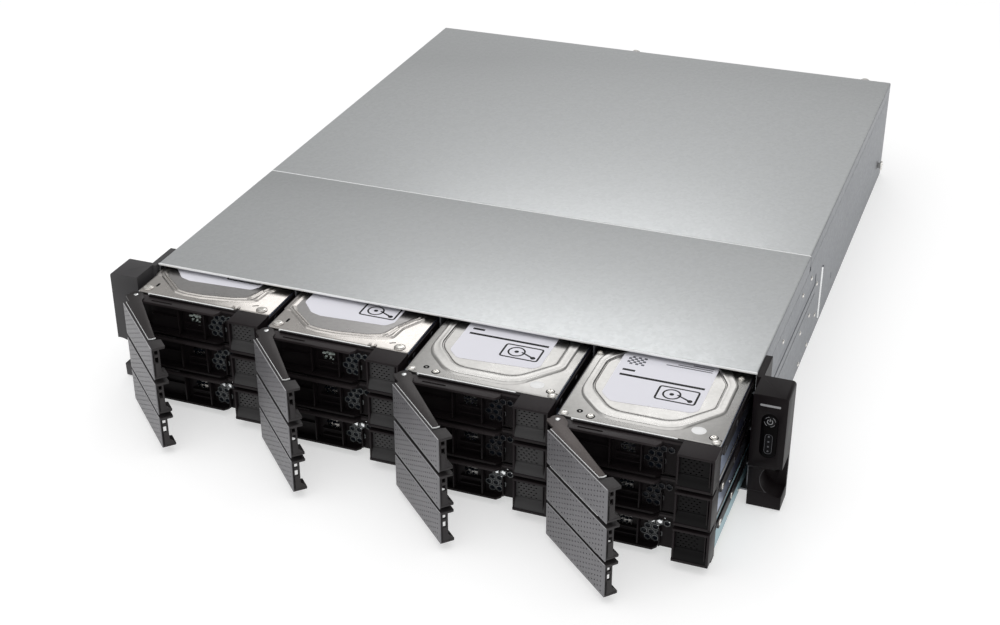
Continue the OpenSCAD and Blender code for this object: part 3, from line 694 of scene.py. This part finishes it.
OUTER_B = ([(2.6, 44), (8.5, 41.8), (28, 24.6), (36, 22.9), (50, 22.9), (76, 27.4), (88.8, 30.8), (90.3, 45),
            (99.0, 61), (99.0, 128), (84, 158), (22, 158), (2.6, 128)],
           [3, 6, 8, 4, 10, 10, 6, 8, 6, 8, 8, 8, 8])
INNER_B = ([(8.8, 50), (13, 43.8), (30, 29.6), (38, 28.1), (50, 28.3), (70, 31.6), (79, 36), (83.6, 48),
            (92.6, 66), (92.6, 124), (80, 150), (26, 150), (8.8, 124)],
           [3, 5, 6, 4, 8, 8, 6, 6, 6, 8, 8, 8, 8])
PROFILE_B = [(-0.08, -0.25), (0.0, 0.0), (0.14, 0.95), (0.3, 1.05), (0.42, 0.3), (0.55, 0.3), (0.66, 0.98),
             (0.84, 0.95), (1.0, 0.25), (1.1, 0.2), (1.3, 0.22)]


def drive_case(outer, inner, profile):
    """Cast case and lid with a pressed ridge; the profile is (share of the way in, rise above the lid)."""
    pairs = list(zip(rounded(*outer, 6), rounded(*inner, 6)))
    b = Build()
    b.plate(rect(DX0, DY0, DX1, DY1, 2.0, 3), DZ0 + 1.4, LID_Z, soft_high=0.5, soft_low=0.3)
    return b.loft([([p + (q - p) * share for p, q in pairs], LID_Z + rise) for share, rise in profile])


def drive_a_case():
    b = drive_case(OUTER_A, INNER_A, PROFILE_A)
    for x, y in CORNERS_A:
        b.turned([(3.0, -0.2), (3.0, 0.3), (2.6, 0.5), (0.1, 0.5)], (x, y, LID_Z), n=20)
    return b


def drive_b_case():
    b = drive_case(OUTER_B, INNER_B, PROFILE_B)
    for x, y in CORNERS_B:
        b.turned([(3.9, -0.2), (3.9, 0.5), (3.5, 0.75), (0.1, 0.75)], (x, y, LID_Z), n=24)
    for x in (76.6, 80.6):
        b.box((x, 18.3, LID_Z - 1), (x + 1.5, 21.3, LID_Z + 0.9), 0.3)
    return b


def lid_field():
    """Painted shade: a darker panel inside the second lid's ridges."""
    return Build().plate(rounded(*INNER_B, 6), LID_Z + 0.15, LID_Z + 0.26)


def lid_groove():
    """Painted shade: a dark line at the inner foot of the first lid's ridge, where the crease lies in shade.
    """
    edge = rounded(*INNER_A, 6)
    centre = sum(edge, Vector((0, 0))) / len(edge)
    ring, hole = ([centre + (p - centre) * scale for p in edge] for scale in (0.992, 0.977))
    return Build().plate(ring, LID_Z + 0.04, LID_Z + 0.14, holes=[hole])


def drive_sides():
    """Long side faces between the screws: a smooth film over the casting, on both sides."""
    b = Build()
    for x in (DX0 - 0.12, DX1 - 0.02):
        b.plate(rect(DY0 + 0.8, DZ0 + 1.7, DY1 - 3, 24.6, 0.6, 2), x, x + 0.14, "x")
    return b


def drive_underside():
    """Controller board under the drive, with its chips."""
    b = Build()
    b.box((DX0 + 1.5, DY0 + 4, DZ0 + 0.2), (DX1 - 1.5, DY1 - 3, DZ0 + 1.6), 0.2)
    for k in range(6):
        b.box((DX0 + 12 + 14 * k, DY0 + 30, DZ0), (DX0 + 20 + 14 * k, DY0 + 42, DZ0 + 0.4), 0.1)
    return b


def lid_screws(kind):
    """Screws and studs that hold the lid down."""
    b = Build()
    if kind == "a":
        for x, y in ((22.8, 22.8), (98.8, 25.6), (22.7, 160), (85.3, 160), (5.6, 97.5), (98.6, 97.5)):
            b.turned([(2.2, -0.1), (2.2, 0.35), (1.9, 0.45)], (x, y, LID_Z), n=20)
            b.screw((x, y, LID_Z + 0.4), "z", 1.8, 0.55)
        for x, y in CORNERS_A:
            b.turned([(2.4, 0.4), (2.4, 0.75), (2.1, 0.95)], (x, y, LID_Z), n=20)
    else:
        for x, y in CORNERS_B:
            b.screw((x, y, LID_Z + 0.7), "z", 2.9, 0.45)
        for x in (6.2, 101.8):
            b.screw((x, 92, LID_Z), "z", 2.9, 0.45)
    return b


def side_screws(stations, small_y):
    """Screws through the tray rails into the drive at the stations along y, and a small one below."""
    b = Build()
    for y in stations:
        for x, shank, out in ((RAIL_X0 - 0.04, 1.9, -1), (RAIL_X1 + 0.04, 102.7, 1)):
            b.screw((x, y, SCREW_Z), "x", 2.3, 0.46, out)
            b.turned([(1.4, 0), (1.4, 3.4)], (shank, y, SCREW_Z), "x", 14)
    b.screw((DX1 + 0.1, small_y, 4.4), "x", 0.9, 0.3, 1)
    return b.screw((DX0 - 0.1, small_y, 4.4), "x", 0.9, 0.3, -1)


def lid_dark(kind):
    """Holes and slots in the lid, each a shallow dark inlay: painted shade in place of the hole."""
    b = Build()
    low, high = LID_Z - 0.05, LID_Z + 0.04
    if kind == "a":
        for x, y in ((14.9, 26.3), (93, 158)):
            b.plate(circle(x, y, 2.0, 18), low, high, holes=[circle(x, y, 0.7, 10)])
        for x, y in ((98.8, 25.6), (22.8, 22.8)):
            b.plate(circle(x, y, 2.9, 20), low, high, holes=[circle(x, y, 2.1, 20)])
        notch = [(98.2, 18.6), (104.2, 18.6), (104.2, 24.6), (102, 24.6), (101.6, 21)]
        b.plate(rounded(notch, 0.8, 3), low, high)
    else:
        for x, y, w, h in ((12.2, 30.4, 1.7, 5.0), (14.8, 160, 1.4, 4.6), (93, 160, 1.4, 4.6)):
            b.plate(slot(x, y, w, h), low, high)
        b.plate(rounded([(88.2, 26.6), (88.8, 25.6), (92.6, 27.8), (92.2, 28.6)], 0.4, 2), low, high)
        b.plate(rect(75.9, 18.5, 82.8, 18.9), low, high)
    return b


LABEL_A = ([(20.7, 52), (28.5, 43.8), (79, 47.6), (82.9, 51.6), (82.9, 146), (20.7, 146)], [5, 6, 3, 3, 3, 3])
LABEL_B = ([(11.8, 57), (22, 45.6), (29.8, 43.1), (76.6, 46), (80.9, 52), (80.9, 140), (11.8, 140)],
           [4, 5, 6, 4, 4, 3, 3])
LABEL_RISE = {"a": 0.12, "b": 0.28}
MARKS_Y = {"a": 55.5, "b": 54.0}


def label(kind):
    """Pale film label on the panel inside the ridge."""
    z = LID_Z + LABEL_RISE[kind]
    return Build().plate(rounded(*(LABEL_A if kind == "a" else LABEL_B), 4), z - 0.1, z + 0.06)


def print_layer(kind):
    """Bottom, top and first line of the label's print."""
    z = LID_Z + LABEL_RISE[kind]
    return z + 0.04, z + 0.09, MARKS_Y[kind]


def label_marks(kind):
    """Plain printed marks: a heavy rule and a drawing of a drive's disk and arm, with no lettering."""
    b = Build()
    low, high, y = print_layer(kind)
    frame_line = rect(52.6, y, 79.2, y + 17, 2.6, 4)
    disk_x, disk_y = 62.4, y + 8.5
    for outline, *hole in (
            (rect(24.8, y + 20, 80.2, y + 22.3, 0.2, 1),),
            (frame_line, inset(frame_line, 1.3)),
            (circle(disk_x, disk_y, 6.0, 32), circle(disk_x, disk_y, 4.8, 32)),
            (circle(disk_x, disk_y, 1.5, 16),),
            ([(74.8, y + 3.4), (76.0, y + 4.4), (66.2, y + 9.4), (65.6, y + 8.4)],),
            (circle(75.0, y + 4.2, 1.7, 16),),
            (rect(24.9, y + 26.4, 33.2, y + 28.6, 0.4, 2),)):
        b.plate(outline, low, high, holes=hole)
    return b


def label_rules(kind):
    """Fine grey rules where small print would be, and a plain checked square."""
    b = Build()
    low, high, y = print_layer(kind)
    for k, x0 in enumerate((49.8, 57.0, 66.5)):
        b.plate(rect(x0, y + 41.6 + 2.3 * k, 79.8, y + 42.5 + 2.3 * k), low, high)
    for i in range(6):
        for j in range(5):
            if (i + j) % 2:
                b.plate(rect(25 + 1.95 * i, y + 35 + 2 * j, 26.95 + 1.95 * i, y + 37 + 2 * j), low, high)
    return b


def seal_dot():
    """Round seal over a hole in the lid."""
    disc = [(88.5 + 4.6 * math.cos(t), 30.2 + 4.2 * math.sin(t))
            for t in np.linspace(0, 2 * math.pi, 28, endpoint=False)]
    b = Build().plate(disc, LID_Z - 0.05, LID_Z + 0.12, soft_high=0.08)
    return b.turned([(2.4, 0.1), (2.3, 0.2), (0.1, 0.22)], (89, 30.6, LID_Z), n=24)


def tray_strip(long):
    """Painted highlight: a bright strip along the edge of the tray's metal plate, just behind the pocket."""
    return Build().box((12.4, 16.45, 24.2), (79 if long else 66, 17.35, 25.7), 0.25)


def well_shadow():
    """Dark backing behind the perforated plate of the finger well."""
    return Build().box((84.6, 4.9, 11.4), (102.4, 5.25, 24.4))


# ---------- the twelve bays ----------

# Each row below: name, build function with its arguments, material, slot, and any node it stands in for
MESHES = {}


def place_all(rows, bay, body, matrix):
    """Places the rows' pieces; pieces made alike in several bays share one mesh."""
    for name, (build, *args), material, slot_name, *replaced in rows:
        key = (build.__name__, tuple(args), material.name)
        if key not in MESHES:
            MESHES[key] = build(*args).mesh(build.__name__, material)
        place(f"{name}_{bay}", MESHES[key], body, matrix, replaced)


def tray_rows(r, c):
    """The tray; polished facets show in the lowest row, the upper rows' facets take a dark gloss as painted
    shade, and light guides at the top left carry a painted glint.
    """
    return (
        ("tray_shell", (tray_shell,), BLACK, "tray_plastic", f"tray_r{r}c{c}"),
        ("finger_block", (finger_block,), BLOCK, "tray_plastic"),
        # The three left columns take the lighter copy of the well plastic: painted light.
        ("finger_well", (finger_well,), WELL_BLACK if c == 4 else WELL_PAINTED_LIGHT, "tray_plastic"),
        ("tray_strip", (tray_strip, r == 1), PAINTED_HIGHLIGHT, "screw_steel"),
        ("well_shadow", (well_shadow,), PAINTED_SHADE_BLACK, "black_trim"),
        ("tray_bar", (tray_bar,), BAR, "tray_plastic"),
        # Rims in the two left columns and the lowest row take the brighter copy: painted highlight.
        ("cell_rims", (cell_rims,), RIM_BRIGHT_HIGHLIGHT if c < 3 or r == 3 else RIM_DIM_HIGHLIGHT, "tray_plastic"),
        # Only the lowest row's facets are polished; the upper rows take the dark gloss: painted shade.
        ("cell_facets", (cell_floors, True), MIRROR if r == 3 else CELL_PAINTED_SHADE, "light_lens"),
        ("cell_floors", (cell_floors, False), CELL_PAINTED_SHADE, "black_trim"),
        # Light guides in the top row's two left bays take the light grey: painted glint.
        ("indicator_guide", (indicator_guide,), GUIDE_PAINTED_GLINT if r == 1 and c < 3 else CELL_PAINTED_SHADE, "light_lens"))


def skin_rows(r, c):
    return (("door_panel", (door_panel,), DOOR, "door_plastic", f"lever_r{r}c{c}"),
            ("door_edge", (door_edge,), DOOR_EDGE_HIGHLIGHT, "door_plastic"))


def lever_rows(c):
    return (("door_back", (door_back,), DOOR_BACK, "door_plastic"),
            # Column 4 takes the lighter bronze and the rest take the darker one: painted light and shade.
            ("lever_plate", (lever_plate,), BRONZE_LIT_AND_SHADED[c == 4], "lever_metal"),
            ("lever_plate_edge", (plate_edge,), PAINTED_HIGHLIGHT, "lever_metal"),
            ("lever_pin", (lever_pin,), BRIGHT, "screw_steel"))


def drive_rows(r, c):
    """The drive with its screws and label: one kind of lid in the two left columns, another in the rest."""
    kind = "b" if c < 3 else "a"
    case, lid = (drive_b_case, LID_B) if kind == "b" else (drive_a_case, LID_A)
    # Side screws in the upper rows take the dark copy: painted shade.
    front_screw, back_screw = SCREW_PAINTED_SHADE if r == 1 else SCREW, SCREW_PAINTED_SHADE if r < 3 else SCREW
    rows = [
        ("drive_case", (case,), lid, "drive_metal", f"drive_r{r}c{c}"),
        ("lid_screws", (lid_screws, kind), SCREW, "screw_steel"),
        ("side_screws_front", (side_screws, SCREW_YS[:1], 53), front_screw, "screw_steel"),
        ("side_screws_back", (side_screws, SCREW_YS[1:], 84), back_screw, "screw_steel"),
        ("lid_recesses", (lid_dark, kind), PAINTED_SHADE_BLACK, "black_trim"),
        # Drive sides: the blue film with its painted fading reflection, and a teal copy in the lowest row,
        # also painted reflection.
        ("drive_side", (drive_sides,), SIDE_TEAL_REFLECTION if r == 3 else SIDE_BLUE_REFLECTION, "drive_metal"),
        ("drive_board", (drive_underside,), PCB, "circuit_board"),
        ("drive_label", (label, kind), LABEL, "drive_label"),
        ("label_marks", (label_marks, kind), LABEL_INK, "drive_label"),
        ("label_rules", (label_rules, kind), LABEL_FINE, "drive_label")]
    if kind == "a":
        return rows + [("lid_seal", (seal_dot,), WHITE_DOT, "drive_label"),
                       ("lid_groove", (lid_groove,), LID_GROOVE_SHADE, "drive_metal")]
    return rows + [("lid_field", (lid_field,), LID_B_FIELD_SHADE, "drive_metal")]


SKIN_DROP = {1: 1.3, 2: 1.6, 3: 0.9}
HINGES = {j["child"]: j for j in frame["joints"] if j["child"].startswith("lever_")}
PIN = Vector((PIN_X, PIN_Y, 0)) * MM
for r in ROWS:
    for c in COLS:
        bay = f"r{r}c{c}"
        tray, lever = "tray_" + bay, "lever_" + bay
        at = Matrix.Translation(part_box(tray)[0] - Vector((RAIL_X0 * MM, 0, 0)))
        opened = math.radians(HINGES[lever]["range_deg"][0])
        swung = at @ Matrix.Translation(PIN) @ Matrix.Rotation(opened, 4, "Z") @ Matrix.Translation(-PIN)
        place_all(tray_rows(r, c), bay, tray, at)
        place_all(skin_rows(r, c), bay, lever, swung @ Matrix.Translation((0, 0, -SKIN_DROP[r] * MM)))
        place_all(lever_rows(c), bay, lever, swung)
        place_all(drive_rows(r, c), bay, tray, at)


# ---------- chassis ----------

HALF_W, TOP_Z, SEAM_Y, DEPTH = 216.0, 87.5, 172.3, 537


def cover_sheet(y0, y1, flange_z, back_soft):
    """A folded top sheet with rounded bends down both sides."""
    bend, turns = 1.15, np.linspace(0, math.pi / 2, 5)

    def half_section(x, r):
        """Left half of the sheet's outer or inner line, up from the flange's edge."""
        return [(x, flange_z), *((-HALF_W + bend - r * math.cos(t), TOP_Z - bend + r * math.sin(t))
                                 for t in turns)]

    outer, inner = half_section(-HALF_W, bend), half_section(1 - HALF_W, bend - 1)
    outer += [(-x, z) for x, z in reversed(outer)]
    inner = [(-x, z) for x, z in inner] + inner[::-1]
    return Build().plate(outer + inner, y0, y1, "y", soft_high=back_soft)


def folded(data):
    """Gives the sheet's side flanges the darker copy of the galvanised steel: painted shade on the sides."""
    data.materials.append(GALVANISED_PAINTED_SHADE)
    for polygon in data.polygons:
        if abs(polygon.normal.x) > 0.6:
            polygon.material_index = 1
    return data


def add(name, build, material, body, slot_name, *replaced):
    """Places a single piece that is drawn where it belongs."""
    return place(name, build.mesh(name, material), body, None, replaced)


STEEL_SLOT = "galvanised_steel"
FLANGE_FRONT, FLANGE_REAR, HEM_X = 74.2, 78, HALF_W - 0.1
front = cover_sheet(1.1, SEAM_Y - 0.3, FLANGE_FRONT, 0.3)
folded(add("front_cover_sheet", front, GALVANISED, "chassis", STEEL_SLOT, "front_top_cover").data)
tongue = Build().plate(rect(-213.6, 171, 213.6, 176), 85.6, 86.3)
add("front_cover_tongue", tongue, GALVANISED, "chassis", STEEL_SLOT)
# The front hem's near-white colour is a painted highlight along the cover's front edge.
front_hem = Build().box((-HEM_X, 0.0, 86.0), (HEM_X, 1.15, TOP_Z), 0.4)
add("front_cover_hem", front_hem, PAINTED_HIGHLIGHT, "chassis", STEEL_SLOT)
rear = cover_sheet(SEAM_Y + 1.2, DEPTH, FLANGE_REAR, 0.3)
rear.plate(rect(-142, 72, 213, 87, 0.8, 2), DEPTH - 1.1, DEPTH - 0.1, "y",
           [circle(x, 80, 2.3, 16) for x in (-24, 192)], soft_high=0.3)
folded(add("rear_cover_sheet", rear, GALVANISED, "rear_cover", STEEL_SLOT, "rear_top_cover").data)
# The rear hem's near-white colour is a painted highlight along the seam.
rear_hem = Build().box((-HEM_X, SEAM_Y - 0.1, 86.2), (HEM_X, SEAM_Y + 1.25, TOP_Z), 0.6)
add("rear_cover_hem", rear_hem, PAINTED_HIGHLIGHT, "rear_cover", STEEL_SLOT)

# The left ear takes the lighter copy of the ear plastic: painted light.
for name, material, slot_name, width in (
        ("left_ear", EAR_PAINTED_LIGHT, "ear_plastic", 0.45), ("right_ear", EAR_BLACK, "ear_plastic", 0.45),
        ("fan_frames", FAN, "fan_plastic", 0.4),
        ("side_fasteners", SCREW, "screw_steel", 0.15), ("rear_ports", SHELL, "port_shell", 0.15),
        ("slot_covers", GALVANISED, STEEL_SLOT, 0.2)):
    softened(name, material, "chassis", width)
for name in ("psu_lower", "psu_upper"):
    softened(name, PSU, name, 0.25)


def retone(obj, material, chosen):
    """Gives the faces whose centre passes the test, in millimetres, another material; all are flat."""
    obj.data.materials.append(material)
    for polygon in obj.data.polygons:
        polygon.use_smooth = False
        if chosen(*(polygon.center / MM)):
            polygon.material_index = len(obj.data.materials) - 1


mainboard = softened("mainboard", PCB, "chassis", 0.15)
retone(mainboard, SOCKET, lambda x, y, z: z > 8.62)
retone(mainboard, ALUMINIUM, lambda x, y, z: z > 8.62 and -33 < x < -23)
retone(softened("memory_modules", PCB, "chassis", 0.08), SOCKET,
       lambda x, y, z: (x - 98.4) % 12 > 1.22)
retone(softened("backplane", PCB, "chassis", 0.1), SOCKET, lambda x, y, z: y < 149.97)

# The chassis base, rear panel and drive cage take the darker galvanised copy: painted shade.
for name, material in (("chassis_base", GALVANISED_PAINTED_SHADE), ("rear_panel", GALVANISED_PAINTED_SHADE),
                       ("drive_cage", GALVANISED_PAINTED_SHADE), ("cpu_heatsink", ALUMINIUM), ("status_lights", LENS),
                       ("fan_rotor_left", FAN), ("fan_rotor_right", FAN),
                       ("cover_thumbscrew_middle", SCREW), ("cover_thumbscrew_right", SCREW)):
    NODES[name].data.materials.clear()
    NODES[name].data.materials.append(material)


def side_details(side, sign):
    """Groove, bead, gaps and scoop rim of one side, painted: the groove band in shade, the bead and the
    scoop's rim as highlights and the gaps as dark shadow lines; sign is -1 on the left.
    """
    skin = sign * (HALF_W - 0.5)

    def span(near, far):
        return sorted((skin + sign * near, skin + sign * far))

    band = Build().plate(rect(28.3, 48.3, 205.7, 57.2, 2, 3), *span(0, 0.12), "x")
    add("side_groove_" + side, band, GROOVE_SHADE, "chassis", STEEL_SLOT)
    crown = "soft_high" if sign > 0 else "soft_low"
    # The bead's bright steel on the darker side wall is a painted highlight.
    bead = Build().plate(slot(232, 28, 3.0, 44, 5), *span(0.1, 1.4), "x", **{crown: 0.6})
    add("side_bead_" + side, bead, BRIGHT, "chassis", STEEL_SLOT)
    # Painted shadow: dark lines under the flanges, dark ticks and dark patches along the side.
    gaps = Build()
    low, high = span(-0.3, 0.2)
    gaps.plate(rect(1, FLANGE_FRONT - 0.6, SEAM_Y + 3, FLANGE_FRONT), low, high, "x")
    gaps.plate(rect(SEAM_Y + 5, FLANGE_REAR - 0.5, DEPTH - 2, FLANGE_REAR), low, high, "x")
    gaps.plate(rect(282.6, 13.6, 287.4, 17.6, 1, 3), *span(-0.05, 0.14), "x")
    gaps.plate(rounded([(205, 1.4), (229, 1.4), (229, 9), (212, 13)], 1.5, 3), low, high, "x")
    for k in range(11):
        gaps.plate(rect(28 + 13.6 * k, 72.4, 33 + 13.6 * k, 74.2, 0.3, 2), low, high, "x")
    add("side_gaps_" + side, gaps, PAINTED_SHADE_BLACK, "chassis", "black_trim")
    # Painted highlight: a light arc along the rim of the scoop.
    lip = [(sign * (239 + r * math.cos(t)), 22.6 + r * math.sin(t))
           for r, start, end in ((12.3, 2.5, 4.03), (12.65, 4.03, 2.5)) for t in np.linspace(start, end, 16)]
    add("scoop_highlight_rim_" + side, Build().plate(lip, -19.62, -19.4, "y"), EAR_PAINTED_LIGHT, "chassis", "ear_plastic")


side_details("left", -1)
side_details("right", 1)

# Controls on the right ear: glossy panel, round button, smoked window and a plain bar above them
BUTTON_X, BUTTON_Z, WINDOW_Z, FACE_Y = 230.5, 68.4, 51.8, -23.3


def arc(r, width, start, end, n=24):
    """Band of a circle about the button's centre, from one angle to another."""
    return [(BUTTON_X + radius * math.sin(t), BUTTON_Z + radius * math.cos(t))
            for radius, a, b in ((r, start, end), (r - width, end, start)) for t in np.linspace(a, b, n)]


def power_icon():
    """Open ring with a stroke, and four light segments round the cap."""
    b = Build()
    low, high = FACE_Y - 0.06, FACE_Y + 0.02
    b.plate(arc(1.9, 0.4, 0.6, 2 * math.pi - 0.6), low, high, "y")
    b.plate(rect(BUTTON_X - 0.2, BUTTON_Z + 0.2, BUTTON_X + 0.2, BUTTON_Z + 2.3), low, high, "y")
    for start in (0.5, 2.1, 3.7, 5.2):
        b.plate(arc(3.58, 0.18, start, start + 0.9, 10), low, FACE_Y + 0.3, "y")
    return b


openings = [circle(BUTTON_X, BUTTON_Z, 4.25, 32), slot(BUTTON_X, WINDOW_Z, 5.4, 15, 6)]
panel = Build().plate(slot(BUTTON_X, 58, 10.4, 32, 8), FACE_Y, FACE_Y + 1.4, "y", openings, soft_low=0.25)
add("status_panel_gloss", panel, GLOSS, "chassis", "panel_gloss", "status_panel")
window_ring = Build().plate(slot(BUTTON_X, WINDOW_Z, 4.9, 14.5, 6), FACE_Y + 0.36, FACE_Y + 0.5, "y",
                            [slot(BUTTON_X, WINDOW_Z, 4.4, 14.0, 6)])
add("window_outline", window_ring, MARK_DIM, "chassis", "panel_gloss")
cap = Build().turned([(0.01, 0), (2.9, 0), (3.15, 0.1), (3.3, 0.35), (3.45, 0.4), (3.6, 0.15), (3.9, 0.2),
                      (4.0, 0.5), (4.0, 2.2)], (BUTTON_X, FACE_Y, BUTTON_Z), "y", 40)
add("button_cap", cap, BUTTON, "power_button", "button_plastic", "power_button")
add("power_symbol", power_icon(), MARK, "power_button", "button_plastic")
dots = Build()
for z in (57.3, 53.5, 49.9, 46.5):
    dots.plate(circle(BUTTON_X, z, 0.62, 12), FACE_Y + 0.4, FACE_Y + 0.52, "y")
add("status_marks", dots, MARK_DIM, "chassis", "panel_gloss")
add("ear_bar", Build().plate(slot(230, 80, 13, 1.5, 3), -23.56, -23.4, "y"), MARK, "chassis", "ear_plastic")

PSU_X, PSU_BACK = -205, 537.3


def fan_guard(z0):
    """Wire guard: four rings and four spokes over the supply's fan."""
    b = Build()
    cx, cz, wire = PSU_X + 39, z0 + 20, 0.45
    for radius in (3.2, 6.0, 8.8, 11.6):
        b.plate(circle(cx, cz, radius + wire, 28), PSU_BACK - 1.1, PSU_BACK - 0.3, "y",
                [circle(cx, cz, radius - wire, 28)])
    for t in np.arange(4) * math.pi / 2 + math.pi / 4:
        along, across = Vector((math.cos(t), math.sin(t))), Vector((-math.sin(t), math.cos(t))) * wire
        near, far = Vector((cx, cz)) + along * 3, Vector((cx, cz)) + along * 12.4
        spoke = [near - across, far - across, far + across, near + across]
        b.plate(spoke, PSU_BACK - 0.9, PSU_BACK - 0.2, "y")
    return b


for name, z0 in (("psu_lower", 2.4), ("psu_upper", 42.2)):
    add("fan_guard_" + name, fan_guard(z0), SCREW, name, "screw_steel")
    tab = Build().box((PSU_X + 46.6, 536.4, z0 + 33.4), (PSU_X + 52.8, 537.6, z0 + 37.4), 0.4)
    add("release_tab_" + name, tab, HANDLE_RED, name, "black_trim")

# ---------- stage, light and camera ----------

scene = bpy.context.scene
world = bpy.data.worlds.new("studio")
scene.world = world
world.use_nodes = True
sky = world.node_tree
split = node(sky, "ShaderNodeSeparateXYZ")
sky.links.new(node(sky, "ShaderNodeTexCoord").outputs["Generated"], split.inputs[0])
sweep = ramp(sky, level(sky, split.outputs["X"], 0.0, 1.0, -1.0, 1.0), 0.62, 0.55, 0.1, 0.95)
middle = sweep.node.color_ramp.elements.new(0.42)
middle.color = rgb(1.0)
sky.links.new(sweep, sky.nodes["Background"].inputs["Color"])
sky.nodes["Background"].inputs["Strength"].default_value = 0.6

floor_data = bpy.data.meshes.new("floor")
floor_data.from_pydata([(-6, -6, 0), (6, -6, 0), (6, 6, 0), (-6, 6, 0)], [], [(0, 1, 2, 3)])
floor = bpy.data.objects.new("floor", floor_data)
scene.collection.objects.link(floor)
floor.location.z = -0.0006
floor_material, _, floor_shader = new_material("pale_floor", (0.6, 0.6, 0.6), 0.6, spec=0.05)
floor_shader.inputs["Emission Color"].default_value = (1, 1, 1, 1)
floor_shader.inputs["Emission Strength"].default_value = 0.5
floor_data.materials.append(floor_material)


def area_light(name, at, toward, size, power):
    lamp = bpy.data.lights.new(name, "AREA")
    lamp.shape = "RECTANGLE"
    lamp.size, lamp.size_y = size
    lamp.energy = power
    obj = bpy.data.objects.new(name, lamp)
    scene.collection.objects.link(obj)
    obj.location = at
    obj.rotation_mode = "QUATERNION"
    obj.rotation_quaternion = (Vector(toward) - Vector(at)).to_track_quat("-Z", "Y")


area_light("overhead", (0.1, -0.3, 2.0), (0, 0.1, 0), (3.0, 2.4), 22)
area_light("front_fill", (0.9, -2.1, 1.2), (0, 0, 0.05), (2.4, 1.6), 8)
area_light("left_key", (-1.8, -1.0, 1.4), (0, 0, 0.05), (1.8, 1.6), 6)
area_light("back_softbox", (-0.5, 2.1, 1.75), (0, 0.2, 0.08), (1.1, 0.9), 6)

camera_data = bpy.data.cameras.new("camera")
camera = bpy.data.objects.new("camera", camera_data)
scene.collection.objects.link(camera)
camera_data.sensor_width = 36
camera_data.lens = 58.646
azimuth, elevation, roll = (math.radians(v) for v in (20.66, 29.02, -0.11))
back = Vector((math.sin(azimuth) * math.cos(elevation), -math.cos(azimuth) * math.cos(elevation),
               math.sin(elevation)))
camera.location = Vector((373.64, -876.37, 617.24)) * MM
camera.rotation_mode = "QUATERNION"
camera.rotation_quaternion = (-back).to_track_quat("-Z", "Y") @ Matrix.Rotation(roll, 4, "Z").to_quaternion()
camera_data.clip_start, camera_data.clip_end = 0.05, 20
scene.camera = camera
scene.view_settings.view_transform = "Standard"
